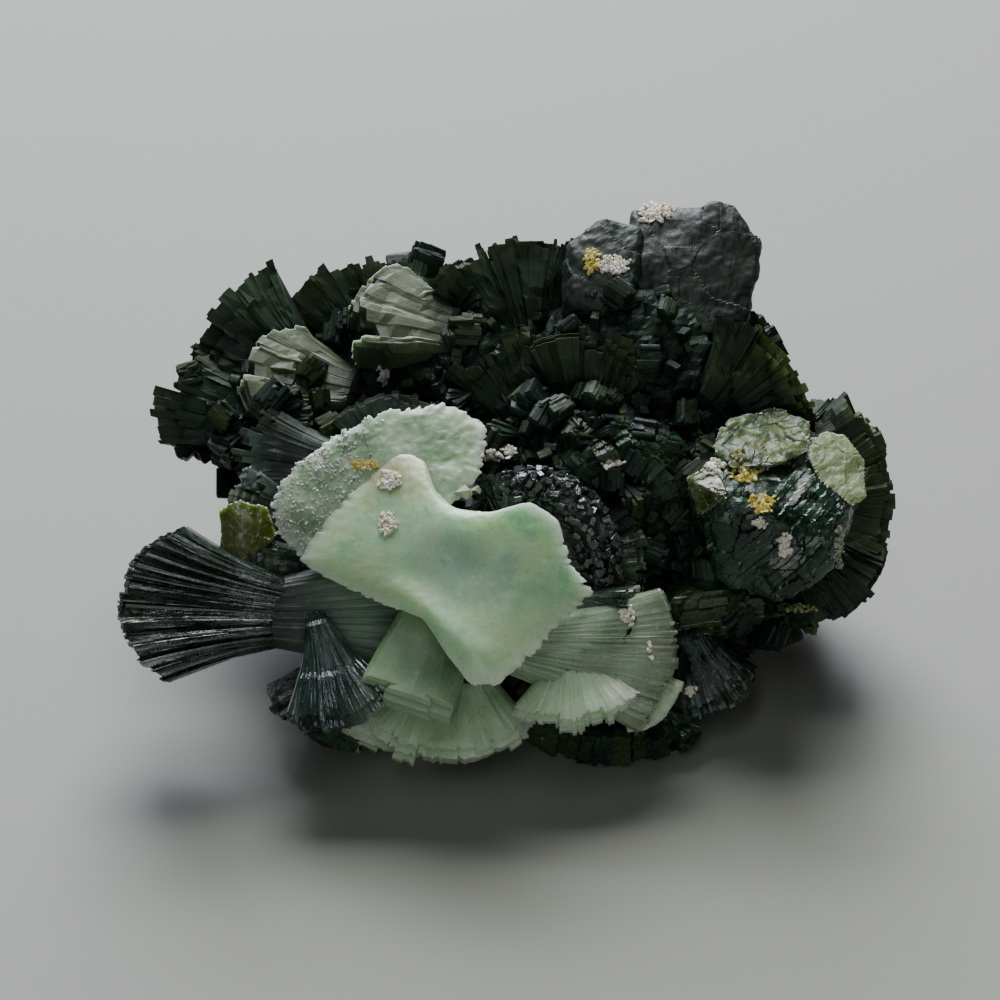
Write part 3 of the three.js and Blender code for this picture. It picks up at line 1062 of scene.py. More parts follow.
# How the thicker crystals of the dark fans have grown together
STEPPED: dict[str, Any] = {"rib": 0.36, "groove": 0.03, "slip": 0.2, "ragged": 0.12, "layers": 6,
                           "terrace": 0.16, "broken": 0.15}
COARSE: dict[str, Any] = {"rib": 0.5, "groove": 0.06, "slip": 0.24, "ragged": 0.15, "layers": 5,
                          "terrace": 0.18, "square": 2.4, "broken": 0.6}
CRAGGY: dict[str, Any] = {"rib": 0.4, "groove": 0.08, "slip": 0.3, "ragged": 0.2, "layers": 5,
                          "terrace": 0.2, "square": 2.2, "broken": 0.9}

# The crystals away from the front are duller, so they lie back in the shade
WEATHERED = DarkPrehnite("weathered dark prehnite", deep="#16241a", body="#30442d",
                         polish=(0.46, 0.72), shine=0.2)

SHEAVES = (
    # The dark bow at the left
    Sheaves("bow", 11, DarkPrehnite(polish=(0.14, 0.4), body="#26352f", shine=1.0), (
        Fan((-13.8, -11, 10.5), (-25.6, -10.2, 11.1), (4, 2.4), 8.5, 44, 0.26, ragged=0.05, rib=0.18,
            groove=0.08, slip=0.12, layers=10, terrace=0.07, square=3),)),
    # The small fan at the lower left, whose ends glint
    Sheaves("glinting_fan", 41, DarkPrehnite(
        "slate prehnite crystal", deep="#22312f", body="#3e524a", edge="#6d7f6d", polish=(0.06, 0.22),
        shine=0.9), (
        Fan((-12.3, -12.2, 10.6), (-10.2, -17.6, 5.8), (1.6, 2.2), 3.6, 56, 0.14, ragged=0.05, slip=0.1,
            rib=0.16, groove=0.03, layers=5, terrace=0.1, band=0.32),)),
    # The dark fans that stand on the table
    Sheaves("foot", 51, DarkPrehnite(), (
        Fan((-11, -8.8, 5.6), (-15.8, -11, 2.7), (1, 2), 2.6, 16, 0.04, Across.FLAT, rib=0.4, slip=0.1),
        Fan((-9.5, -8.2, 5), (-12.2, -13, 0.5), (2, 2.4), 4, 44, across=Across.FLAT, **STEPPED),
        Fan((6.6, -8.5, 3.4), (5.8, -14.6, 0.6), (3, 3), 5, 116, 0.06, **STEPPED),
        Fan((11, -6, 6.4), (13.6, -10.4, 1), (2.4, 3), 5, 58, **STEPPED),
        Fan((12.5, -3, 9.5), (13.5, -8.5, 6.2), (2.4, 4), 7, 60, across=Across.SIDEWAYS, **STEPPED))),
    # The dark fans right of and behind the front blade
    Sheaves("dark_fans", 61, DarkPrehnite(body="#34523e"), (
        Fan((-11.5, -7.6, 11.2), (-17.2, -8.6, 11.9), (2.4, 2.4), 4, 30, **STEPPED),
        Fan((3.2, -10.3, 11), (8.8, -11.8, 10.2), (1.8, 2.4), 4, 34, **STEPPED),
        Fan((4, -7, 11.4), (9.5, -8, 11.4), (2.6, 2.4), 3.6, 76, **STEPPED),
        Fan((0.6, -7.8, 12.2), (4.6, -5.6, 15.8), (3, 2.4), 3.6, 140, 0.0, **STEPPED),
        Fan((7.2, -2.6, 13.4), (4.5, -2.2, 18.8), (2.2, 3), 4.6, 56, **STEPPED),
        Fan((7.8, -2.6, 13.4), (9.6, -0.6, 19.3), (2.2, 3), 4.6, 50, **STEPPED),
        Fan((7.4, -3.6, 13.6), (11.2, -3, 17.4), (2, 2.4), 3.6, 44, **STEPPED))),
    # The fans behind the right block
    Sheaves("right_fans", 71, replace(WEATHERED, name="weathered olive prehnite", body="#2b391d",
                                      edge="#4f6026", edge_share=1.0), (
        Fan((18.2, 0.6, 11), (26, 1.4, 9.8), (4, 4), 7, 78, **COARSE),
        Fan((18.4, 1.6, 12.6), (23.6, 6.2, 13.4), (3, 3.6), 6.4, 54, across=Across.UPRIGHT, **COARSE),
        Fan((18.6, -1, 9.8), (23.8, -3.2, 4.9), (3, 3.4), 6, 50, **COARSE),
        Fan((13.5, 3.2, 16.2), (19.2, 6.2, 20), (3.6, 4.4), 8.5, 76, **COARSE))),
    # The fans between the front blades and the highest crystal
    Sheaves("middle_fans", 81, WEATHERED, (
        Fan((1.4, 9, 17), (-0.6, 15.6, 23.2), (3, 3.6), 5.8, 78, **COARSE),
        Fan((2, 2.6, 13.6), (0.2, 8.4, 20.6), (2.6, 3), 4.4, 66, **COARSE),
        Fan((4.8, 2, 15), (6, 6.2, 22.2), (2.6, 3), 4.2, 62, **COARSE))),
    # The large fans at the back left
    Sheaves("wing", 91, WEATHERED, (
        Fan((-12, 8.8, 13), (-21.8, 12.4, 14.8), (3.8, 4.4), 8, 46, **COARSE),
        Fan((-7.4, 10, 14), (-11, 18.4, 19.4), (3.6, 4.4), 8, 60, **COARSE),
        Fan((-13.6, 6.6, 12.6), (-24.6, 10, 14.3), (3, 4), 6.4, 26, **COARSE),
        Fan((-13, 9.5, 13.8), (-21.6, 13.2, 18.6), (3.4, 4), 5.4, 56, 0.04, **COARSE))),
    # The fans between the wing and the front blades. Their gray colours are painted sheen on dark crystals.
    Sheaves("ledges", 101, replace(WEATHERED, name="gray weathered prehnite", deep="#2b362f",
                                   body="#66746b", frost="#99a29b", shine=0.35), (
        Fan((-9, 1.6, 12.2), (-19.3, 2, 12.6), (3, 3.6), 6, 50, **STEPPED),
        Fan((-7.2, 1, 12.6), (-7.8, 4.4, 18), (2.6, 3), 4.4, 70, **STEPPED),
        Fan((-12.6, -3, 11.4), (-18.8, -5.6, 14.4), (2.4, 2.4), 3.6, 44, **STEPPED))),
    # The fans of the side that faces away from the pale front
    Sheaves("back_fans", 111, replace(WEATHERED, name="dull dark prehnite", deep="#0f1710",
                                      body="#222e20", edge="#3a4423"), (
        Fan((5, 9, 12), (3, 19, 12.6), (4, 4), 8, 70, across=Across.SIDEWAYS, **CRAGGY),
        Fan((10, 8.4, 12.4), (16.4, 16.8, 14.6), (4, 4), 8.4, 66, across=Across.UPRIGHT, **CRAGGY),
        Fan((-4, 8.4, 9.6), (-7.6, 17.4, 7.6), (4, 4), 8, 64, across=Across.SIDEWAYS, **CRAGGY),
        Fan((10, 6.6, 7.6), (13, 14.6, 3.4), (4, 4), 8, 60, across=Across.SIDEWAYS, **CRAGGY),
        Fan((1.6, 6, 6.4), (1, 13.6, 1.6), (4, 4), 8, 60, across=Across.SIDEWAYS, **CRAGGY),
        Fan((-9, 4, 7.6), (-15.4, 5.6, 3.6), (3.4, 4), 7, 60, across=Across.FLAT, **CRAGGY),
        Fan((16.4, 3, 7.6), (21.4, 6.4, 3.6), (3.4, 4), 7, 60, across=Across.FLAT, **CRAGGY))),
    # The bow's pale half, which runs in under the front blade
    Sheaves("pale_bow", 21, PalePrehnite(
        "teal prehnite crystal", body="#8fac93", cloud="#a9bea4", shade="#6f8c79", root="#111c18",
        root_end=0.85, roughness=0.46, shine=0.3), (
        Fan((-16, -11, 10.5), (-4.2, -9, 9.4), (4.2, 2.7), 6.6, 31, ragged=0.05, slip=0.05, rib=0.2,
            groove=0.04),)),
    # The smooth pale fans below the front blade, with combed rims
    Sheaves("pale_fans", 31, PalePrehnite(
        "combed prehnite fan", body="#86a67c", cloud="#a7b99d", shade="#66845f", root="#5b6f56",
        root_share=0.5, shine=0.3), (
        Fan((-3.8, -10.8, 12.6), (-6.8, -16.6, 6.6), (2.6, 3.6), 6.2, 24, 0.05, Across.SIDEWAYS,
            ragged=0.04, slip=0.03, rib=0.35, groove=0.03, layers=4, terrace=0.06, square=16),
        Fan((-4.2, -12.6, 11), (-6.2, -16.6, 8.2), (0.5, 2.4), 3.2, 4, 0.05, Across.SIDEWAYS,
            ragged=0.02, slip=0.02, rib=0.3, groove=0.01, layers=3, terrace=0.03, square=24))),
    # The lowest pale fans, whose rims step like a comb. Their very pale colours are painted glow, standing
    # for light that shines through them from behind.
    Sheaves("comb_fans", 33, PalePrehnite(
        "comb prehnite fan", body="#c6dfb9", cloud="#dfe9d5", shade="#a9c39d", root="#89a380",
        root_share=0.5, glow_mm=2.8, clearness=0.1), (
        Fan((-3.9, -9.8, 7.4), (-4, -16.6, 1.8), (2.6, 2.4), 3.4, 76, 0.12, ragged=0.07, slip=0.1,
            rib=0.26, groove=0.03, layers=4, terrace=0.12),
        Fan((-7, -8.9, 5.3), (-8.2, -13.8, 0.9), (2.6, 2.4), 3.6, 56, ragged=0.06, slip=0.08,
            rib=0.28, groove=0.03, layers=4, terrace=0.12),
        Fan((3.8, -12.6, 9.2), (4.5, -17.3, 5.6), (2.2, 1.8), 2.8, 78, 0.08, ragged=0.09, slip=0.08,
            rib=0.24, groove=0.03, layers=4),
        Fan((6.6, -12.2, 7.6), (10, -14.6, 4.8), (1.6, 1.6), 2.2, 44, ragged=0.02, slip=0.02, rib=0.3,
            groove=0.01, layers=3, terrace=0.05))),
    # The pale fan that runs to the right and turns olive at its end
    Sheaves("olive_ended_fan", 36, PalePrehnite(
        "olive ended prehnite fan", body="#8fa585", cloud="#a9b99f", shade="#74896c", root="#6c8166",
        root_share=0.4, tip="#4a5426", tip_share=0.85, tip_start=0.78), (
        Fan((-1.3, -13.2, 9.8), (11, -13.2, 8), (2.8, 2.2), 3.4, 36, 0.08, ragged=0.05, slip=0.06,
            rib=0.26, groove=0.025, layers=4, terrace=0.05),)),
    # The broad pale gray-olive fans on top of the wing, with dark rims. Their pale colour is partly a
    # coating and partly painted sheen of light on their up-facing tops.
    Sheaves("wing_plates", 96, PalePrehnite(
        "gray olive prehnite plate", body="#566045", cloud="#727a60", shade="#3a4332", shine=0.2,
        roughness=0.5, root="#232b20", tip="#262e20", tip_share=0.9, tip_start=0.84, cloud_mm=3.0), (
        Fan((-10.4, 6.6, 15.4), (-18.6, 8.2, 17.2), (3.4, 2.4), 3.4, 54, 0.2, Across.TOP, rib=0.9,
            groove=0.03, slip=0.14, ragged=0.16, broken=0.3),
        Fan((-3, 9.2, 18.2), (-11.2, 10.8, 20.2), (3.4, 2.4), 3.4, 48, 0.2, Across.TOP, rib=0.9,
            groove=0.03, slip=0.14, ragged=0.16, broken=0.3))),
)


@dataclass(frozen=True)
class Blade:
    """A pale plate with a free outline, whose two faces swell from a stepped edge.

    jagged gives stretches of the edge, as first and last corner number, and how far the steps go.
    ridge is the line of a long swelling on the front, with its height and width in ridge_form.
    Left of sugar_end the plate is grown over with tiny crystals.
    """

    name: str
    finish: PalePrehnite
    edge: tuple[Place, ...]
    middle: Place
    front: float
    back: float
    jagged: tuple[Place, ...]
    relief: float
    grit: float = 0.03
    seed: float = 3.0
    ridge: tuple[Place, Place] = ((0.0, 0.0, 0.0), (1.0, 0.0, 0.0))
    ridge_form: Size = (0.0, 1.0)
    sugar_end: float = -99.0
    step_mm: float = 0.32
    spacing: float = 0.16

    def _rim(self) -> tuple[np.ndarray, np.ndarray]:
        """The edge as a smooth line.

        Returns:
            Close points on it, and how jagged it is at each.
        """
        corners = np.array([in_frame(corner) for corner in self.edge])
        count = len(corners)
        points = []
        jag = []
        for i in range(count):
            p0, p1, p2, p3 = (corners[(i + k) % count] for k in (-1, 0, 1, 2))
            parts = max(2, round(np.linalg.norm(p2 - p1) / self.spacing))
            for step in range(parts):
                t = step / parts
                curve = 0.5 * (2 * p1 + (p2 - p0) * t + (2 * p0 - 5 * p1 + 4 * p2 - p3) * t ** 2
                               + (3 * p1 - p0 - 3 * p2 + p3) * t ** 3)
                points.append(0.5 * (p1 + (p2 - p1) * t) + 0.5 * curve)
                jag.append(max([0.05] + [most for first, last, most in self.jagged
                                         if first <= i + t <= last]))
        return np.array(points), np.array(jag)

    def _lift(self, places: np.ndarray, ring: float) -> np.ndarray:
        """How far the front stands out beyond its even swell.

        Args:
            places: points of one ring, one a row.
            ring: how far out the ring lies, from 0 to 1.

        Returns:
            The height at each point, from soft waves and the ridge.
        """
        start, end = (np.array(in_frame(place)) for place in self.ridge)
        way = end - start
        share = np.clip(((places - start) @ way) / (way @ way), 0.0, 1.0)
        gap = np.linalg.norm(places - (start + share[:, None] * way), axis=1)
        crest = self.ridge_form[0] * np.exp(-(gap / self.ridge_form[1]) ** 2)
        return self.relief * bumps(places, 4.5, 2, self.seed) * (1 - ring ** 4) + crest * (1 - ring ** 8)

    def _face(self, rim: np.ndarray, jag: np.ndarray, facing: np.ndarray, side: int) -> list[np.ndarray]:
        """The rings of one face, from the edge inwards.

        Args:
            rim: the edge's points.
            jag: how jagged the edge is.
            facing: the unit direction that the front looks in.
            side: 1 for the front, -1 for the back, which leaves out the edge itself.

        Returns:
            Rings of points. The last one is next to the middle.
        """
        middle = np.array(in_frame(self.middle))
        waves = np.fft.rfft(rim - middle, axis=0)
        order = np.arange(len(waves))[:, None]
        outward = rim - middle
        outward /= np.linalg.norm(outward, axis=1, keepdims=True)
        run = np.cumsum(np.linalg.norm(np.diff(rim, axis=0, append=rim[:1]), axis=1))
        teeth = chance(np.floor(run / self.step_mm), self.seed) - 0.5
        teeth += 0.5 * (chance(np.floor(run / (0.37 * self.step_mm)), self.seed + 1) - 0.5)
        swell = self.front if side > 0 else self.back
        rings = []
        for ring in RINGS if side > 0 else RINGS[1:]:
            flat = np.fft.irfft(waves * ring ** np.maximum(0.5 + 0.5 * order, 1), len(rim), axis=0)
            depth = np.fft.irfft((waves @ facing)[:, None] * ring ** order, len(rim), axis=0)
            places = middle + flat + (depth - (flat @ facing)[:, None]) * facing
            places += outward * (teeth * jag * smooth(ring, 0.94, 1.0))[:, None]
            rise = swell * (1 - ring ** 2.5) ** 0.8
            if side > 0:
                rise = rise + self._lift(places, ring)
            if ring < 1:
                rise = rise + 0.3 * jag * teeth * smooth(ring, 0.88, 0.98)
                rise = rise + self.grit * smooth(ring, 0.1, 0.7) * bumps(places, 0.5, 2, self.seed)
            rings.append(places + facing * side * np.reshape(rise, (-1, 1)))
        return rings

    def build(self, druse: CrustTool) -> Piece:
        """Makes the blade.

        Args:
            druse: the tree that strews small crystals.

        Returns:
            The finished piece.
        """
        rim, jag = self._rim()
        middle = np.array(in_frame(self.middle))
        around = np.cross(rim - middle, np.roll(rim, -1, axis=0) - middle).sum(axis=0)
        facing = around / np.linalg.norm(around)
        if facing[1] > 0:
            facing = -facing
            rim, jag = rim[::-1].copy(), jag[::-1].copy()
        front = self._face(rim, jag, facing, 1)
        back = self._face(rim, jag, facing, -1)
        count = len(rim)
        middle = middle + facing * ((rim - middle) @ facing).mean()
        points = np.concatenate([*front, middle[None] + facing * self.front,
                                 *back, middle[None] - facing * self.back])
        tip = len(front) * count
        faces = []
        for side, rings, last in (
                (1, range(0, tip, count), tip),
                (-1, [0, *range(tip + 1, len(points) - 1, count)], len(points) - 1)):
            for outer, inner in zip(rings, rings[1:]):
                quads = [(outer + i, outer + (i + 1) % count, inner + (i + 1) % count, inner + i)
                         for i in range(count)]
                faces += [quad[::side] for quad in quads]
            faces += [(rings[-1] + i, rings[-1] + (i + 1) % count, last)[::side] for i in range(count)]
        mesh = bpy.data.meshes.new(self.name)
        mesh.from_pydata(points.tolist(), [], faces)
        mesh.shade_smooth()
        sugary = np.clip((self.sugar_end - points[:, 0]) / 3.0, 0.0, 1.0)
        reach = np.concatenate([np.repeat(RINGS, count), [0], np.repeat(RINGS[1:], count), [0]])
        give_attributes(mesh, (1.0, 0.0, 0.3), reach, sugary)
        mesh.materials.append(self.finish.material())
        meshes = [mesh]
        if sugary.max() > 0:
            sparks = replace(self.finish, name="glassy prehnite grains", roughness=0.3,
                             clearness=0.0, body=self.finish.cloud, shade=self.finish.body)
            meshes.append(druse.strew(mesh, 13.0, (0.05, 0.07, 0.06), (0.12, 0.16, 0.13), 0.6, 5,
                                      sparks.material()))
        return finished(self.name, meshes, self.finish.slot)


BLADES = (
    # The smooth waisted blade at the front
    Blade("front_blade", PalePrehnite(
        "milky prehnite blade", body="#b3d9aa", cloud="#ccdab0", shade="#96bd9f", root="#759a8b",
        root_share=0.6, root_end=0.6, tip="#e2ead2", tip_start=0.88, tip_share=0.6, frost_share=0.3,
        relief_mm=0.03, glow_mm=2.2, cloud_mm=2.6, stain_at=(-7.8, -7.0, 17.9), stain_mm=2.6),
        edge=((-13.4, -10.3, 14.2), (-10.6, -7.7, 17.1), (-7.1, -5.6, 19.2), (-5.5, -6.3, 19.1),
              (-4.8, -8.1, 18.2), (-3.5, -9.6, 17.8), (-1.3, -10.6, 18.2), (1.2, -11, 19.2),
              (3, -11.7, 18.3), (3.7, -13, 16.3), (5.1, -13.4, 13.9), (3.1, -15.1, 12.6),
              (1.2, -17, 11.6), (-0.7, -18.8, 10.8), (-2.5, -18.8, 10.8), (-4.1, -17.2, 12),
              (-5.6, -15.2, 13.2), (-8.9, -13.2, 13.3)),
        middle=(-4, -12.2, 15.4), front=1.1, back=2.6,
        jagged=((16.5, 18.0, 0.2), (0.0, 1.5, 0.22), (8.6, 12.0, 0.4), (12.0, 14.5, 0.2)),
        relief=0.16, ridge=((-7.2, -13.9, 14.6), (-2.0, -17.6, 12.2)), ridge_form=(0.7, 1.1)),
    # The grainy blade that stands behind the front one's upper end
    Blade("rear_blade", PalePrehnite(
        "frosted prehnite blade", body="#93b386", cloud="#d3decb", shade="#5f7d5c", root_share=0.0,
        tip="#e2e8da", tip_start=0.8, tip_share=0.6, frost_share=0.6, roughness=0.4, relief_mm=0.08,
        cloud_mm=2.2),
        edge=((-15.3, -7.6, 16.4), (-14, -5.8, 18.1), (-11.6, -4.2, 19.4), (-8.5, -2.9, 20.5),
              (-4.5, -2.1, 20.7), (-1.9, -2.7, 19.9), (-1.5, -4.4, 19.1), (-1.9, -6.2, 18.2),
              (-3.5, -8, 17.2), (-8, -10.4, 15), (-13.6, -9.8, 14.2)),
        middle=(-8, -5.8, 17.8), front=0.5, back=2.8, jagged=((0.0, 8.0, 0.35), (10.0, 11.0, 0.5)),
        relief=0.45, grit=0.06, seed=8.0, sugar_end=-8.4),
)


@dataclass(frozen=True)
class ClearCrystal:
    """A small single crystal that light passes."""

    name: str
    finish: PalePrehnite
    corners: tuple[Place, ...]
    relief: float = 0.12
    cell: float = 0.1
    layering: Place = (0.4, -0.6, 0.6)

    def build(self) -> Piece:
        """Makes the crystal.

        Returns:
            The finished piece.
        """
        hull = hull_mesh([in_frame(corner) for corner in self.corners], self.name)
        skin = remeshed([hull], self.cell, self.name)
        carve(skin, self.layering, 0.5, 1.5 * self.relief, self.relief, 23, (1.2, self.relief))
        give_attributes(skin, self.layering, 1.0)
        skin.materials.append(self.finish.material())
        return finished(self.name, [skin], self.finish.slot)


# Crystals of one clear colour from root to tip
EVEN = PalePrehnite(root_share=0.0, tip_share=0.0)

CLEAR_CRYSTALS = (
    # The olive crystal between the bow and the front blade
    ClearCrystal("olive_crystal", replace(
        EVEN, name="olive prehnite crystal", body="#67751f", cloud="#838d58", shade="#3c4a14",
        roughness=0.24, cloud_mm=2.4, clearness=0.45), (
        (-18.9, -6.4, 15.4), (-17.4, -6, 16), (-15.6, -6.6, 15.8), (-15, -8, 14.6),
        (-16.8, -8.8, 12.4), (-18.6, -7.8, 12.8), (-15.6, -5, 12.4), (-18.2, -4.6, 13.2))),
    # The pale yellow-green plate on the right block
    ClearCrystal("lime_plate", replace(
        EVEN, name="yellow-green prehnite plate", body="#7c8a5c", cloud="#949d72", shade="#65734e",
        shine=0.3, cloud_mm=1.6, relief_mm=0.1), (
        (19.0, -3.4, 18.0), (20.2, -1.6, 18.2), (21.8, -1.4, 17.9), (23, -3.4, 17.2),
        (22.9, -6.1, 16.3), (22, -7, 16.1), (20, -5.6, 17), (20.4, -2.4, 16.6), (22.4, -2.6, 16),
        (22.4, -6, 15.6)), 0.1),
    # The lumpy yellow-green crust on top of the right block
    ClearCrystal("lime_crust", replace(
        EVEN, name="lumpy yellow-green prehnite", body="#586945", cloud="#87895a", shade="#3b4a33",
        shine=0.15, cloud_mm=1.8, relief_mm=0.1), (
        (13, -3.8, 18.5), (14.2, -0.8, 18.9), (17.4, 0.5, 18.7), (19.6, -0.6, 18.4),
        (19.4, -3.6, 18.1), (16.8, -5.4, 18.2), (14.2, -5.6, 18.2), (14, -2, 17), (18.6, -1, 17),
        (17, -4.6, 17)), 0.22),
    # The clear olive corner of the right block
    ClearCrystal("olive_corner", replace(
        EVEN, name="clear olive prehnite", body="#4f5c2a", cloud="#6f7b4a", shade="#2c3818",
        roughness=0.2, cloud_mm=1.0, clearness=0.4), (
        (11.3, -7.1, 18.4), (13.2, -5.6, 18.6), (13.9, -8.6, 17.8), (12, -8.4, 16.4),
        (13.6, -6, 16.4), (11.5, -6.6, 16.8))),
)


@dataclass(frozen=True)
class Blocks:
    """Thick single crystals: the corners of each one's hull and the direction of its layers.

    layer, step, relief and facet are what carve asks for.
    """

    name: str
    seed: int
    finish: DarkPrehnite
    layer: float
    step: float
    relief: float
    facet: Size
    blocks: tuple[tuple[Place, tuple[Place, ...]], ...]
    layers: Size = (0.35, 1.3)
    slip: float = 0.06
    coarse: float = 0.6
    rounds: int = 3
    cell: float = 0.15
    olive: float = 0.5

    def _rounded(self, skin: Mesh) -> Mesh:
        """Rounds a skin's edges by moving each point towards its neighbours a few times.

        Args:
            skin: the coarse skin.

        Returns:
            The rounded skin.
        """
        work = bmesh.new()
        work.from_mesh(skin)
        for _ in range(self.rounds):
            bmesh.ops.smooth_vert(work, verts=work.verts, factor=0.5, use_axis_x=True, use_axis_y=True,
                                  use_axis_z=True)
        return as_mesh(work, "block")

    def build(self) -> Piece:
        """Makes the crystals.

        Returns:
            The finished piece.
        """
        material = self.finish.material()
        meshes = []
        for seed, (layering, places) in enumerate(self.blocks, self.seed):
            corners = [in_frame(place) for place in places]
            stack = layered(corners, layering, self.layers, self.slip, seed)
            skin = remeshed([self._rounded(remeshed([stack], self.coarse, "block"))], self.cell, "block")
            carve(skin, layering, self.layer, self.step, self.relief, seed, self.facet)
            give_attributes(skin, layering, self.olive)
            skin.materials.append(material)
            meshes.append(skin)
        return finished(self.name, meshes, self.finish.slot)


BLOCKS = (
    # The thick glossy crystal at the right
    Blocks("right_block", 17, DarkPrehnite("blocky dark prehnite", frost="#26332a", polish=(0.12, 0.4),
                                           line_depth_mm=0.03, shine=0.35), 0.45, 0.12, 0.06, (1.6, 0.5), (
        ((-0.7, 0.3, 0.6), (
            (11.6, -6.9, 18.2), (13.7, -2.6, 18.3), (16, -0.2, 18.2), (19, 0.8, 17.9),
            (22.2, -0.7, 17.4), (22.4, -5.7, 16.5), (20.5, -8.4, 16), (16, -8.9, 17.1),
            (12.2, -7.9, 16.6), (13.2, -9.4, 11.2), (18, -10.6, 10.3), (20.9, -9.2, 12.3),
            (22.5, -5.6, 14), (14, -1, 11), (20, -1, 12))),)),
    # The two thick crystals at the top, which the weather has dulled
    Blocks("peak", 18, replace(WEATHERED, name="blocky weathered prehnite", deep="#121c14",
                               body="#26342a", frost="#5d665f", shine=0.4), 1.1, 0.25, 0.16, (3.4, 0.3), (
        ((0.8, -0.5, 0.4), (
            (7.7, 13.8, 26.3), (12, 13.6, 26), (15.2, 14.1, 26.7), (17, 11.6, 24.6),
            (15.9, 6.5, 19.8), (8.6, 6.5, 20.4), (7.3, 9.2, 24.4), (9, 16, 20), (15.6, 16, 21))),
        ((-0.5, -0.3, 0.8), (
            (3.6, 10.3, 25.6), (6, 11.9, 26.7), (9.4, 12, 26.2), (3.3, 6.8, 22.8), (7.9, 6, 23.2),
            (4, 8, 17), (8.6, 7.4, 17), (5, 13.6, 20), (9, 13.4, 20))))),
)


@dataclass(frozen=True)
class DruseArc:
    """The dark sugary rim that follows the front blade's right end."""

    name: str = "druse_arc"
    centre: Place = (0.6, -8.6, 12.2)
    first: Place = (4.0, 2.2, 3.6)
    sweep: Size = (-78.0, 62.0)
    radius: float = 5.2
    thickness: float = 1.35
    steps: int = 60
    sides: int = 20
    seed: int = 27
    finish: DarkPrehnite = DarkPrehnite("sugary dark prehnite", deep="#151a1a", body="#39403f",
                                        edge="#565d4e", frost="#8d9490", polish=(0.12, 0.4))

    def build(self, druse: CrustTool) -> Piece:
        """Makes the rim and its small crystals.

        Args:
            druse: the tree that strews small crystals.

        Returns:
            The finished piece.
        """
        axis = Vector(self.first).normalized()
        width = Vector(Across.FACING.value)
        width = (width - axis * width.dot(axis)).normalized()
        stack = axis.cross(width)
        points = []
        for step in range(self.steps + 1):
            share = step / self.steps
            angle = (self.sweep[0] + (self.sweep[1] - self.sweep[0]) * share) * DEGREE
            out = axis * math.cos(angle) + stack * math.sin(angle)
            thick = self.thickness * (math.sin(math.pi * share) ** 0.4 * 0.95 + 0.05)
            for side in range(self.sides):
                turn = 2 * math.pi * side / self.sides
                points.append(in_frame(self.centre) + out * (self.radius + thick * math.cos(turn))
                              + width * (1.2 * thick * math.sin(turn)))
        mesh = closed_mesh(self.name, np.array(points), tube_faces(self.steps + 1, self.sides))
        give_attributes(mesh, self.first, 0.6)
        material = self.finish.material()
        mesh.materials.append(material)
        crystals = druse.strew(mesh, 7.0, (0.2, 0.25, 0.18), (0.55, 0.6, 0.42), 0.5, self.seed, material)
        return finished(self.name, [mesh, crystals], self.finish.slot)


@dataclass(frozen=True)
class Core:
    """The rough body that the fans grow from, grown over with small crystals and short fans."""

    name: str = "core"
    fans_name: str = "short_fans"
    lumps: tuple[tuple[Place, Place], ...] = (
        ((-5, -1, 8.5), (9, 8, 7.5)), ((5, 0.5, 9.5), (10, 8, 9.5)), ((13.5, 0, 9), (7, 7.5, 8)),
        ((-11, 7.5, 11), (8, 6, 5.5)), ((2, -7, 6), (9, 5.5, 5.5)), ((8, 8, 14.5), (8, 6, 9)),
        ((-2, 9, 13), (7, 6, 7)), ((-14.5, 8.5, 12.8), (7.5, 5.5, 5)), ((-6, 12, 14.5), (7, 5.5, 6.5)))
    layering: Place = (0.3, 0.2, 1.0)
    shrink: float = 0.93
    cell: float = 0.42
    seed: int = 7
    finish: DarkPrehnite = DarkPrehnite("grainy dark prehnite", deep="#0e1c14", body="#203429",
                                        polish=(0.4, 0.68), shine=0.16)

    def build(self, druse: CrustTool, tufts: CrustTool) -> list[Piece]:
        """Makes the body with its druse, and the short fans on it.

        Args:
            druse: the tree that strews small crystals.
            tufts: the tree that strews short fans.

        Returns:
            The two finished pieces.
        """
        material = self.finish.material()
        balls = []
        for centre, half in self.lumps:
            work = bmesh.new()
            bmesh.ops.create_icosphere(work, subdivisions=4, radius=1.0)
            ball = as_mesh(work, "lump")
            scale = Matrix.Diagonal((*[h * self.shrink for h in half], 1.0))
            ball.transform(Matrix.Translation(in_frame(centre)) @ scale)
            balls.append(ball)
        skin = remeshed(balls, self.cell, self.name)
        carve(skin, self.layering, 0.9, 0.5, 0.5, self.seed)
        # Fewer crystals stand on the side that the blades and the back fans hide
        crust = 1 - 0.7 * smooth(vectors(skin)[:, 1], -3.0, 4.0)
        give_attributes(skin, self.layering, 0.3, crust)
        skin.materials.append(material)
        crystals = druse.strew(skin, 0.9, (0.4, 0.5, 0.3), (0.9, 1.0, 0.7), 0.4, self.seed, material)
        short_fans = tufts.strew(skin, 0.24, (1.2, 1.2, 1.2), (2.6, 2.2, 2.2), 0.5, self.seed, material)
        return [finished(self.name, [skin, crystals], self.finish.slot),
                finished(self.fans_name, [short_fans], self.finish.slot)]


class Tint(Enum):
    """The kinds of crust: main colour, stain and how much of it is stained."""

    WHITE = ("#ece7da", "#d9c79a", 0.15)
    YELLOW = ("#e2dcb4", "#c9b84e", 0.4)
    LIME = ("#949c78", "#8b9050", 0.3)
    GRAY = ("#86917f", "#a3a890", 0.3)


@dataclass(frozen=True)
class Patch:
    """A patch of crust: its pixel in the photograph, its half width and height in mm, and its kind."""

    pixel: Size
    radii: Size
    tint: Tint = Tint.WHITE
    grain: Size = (0.2, 0.5)


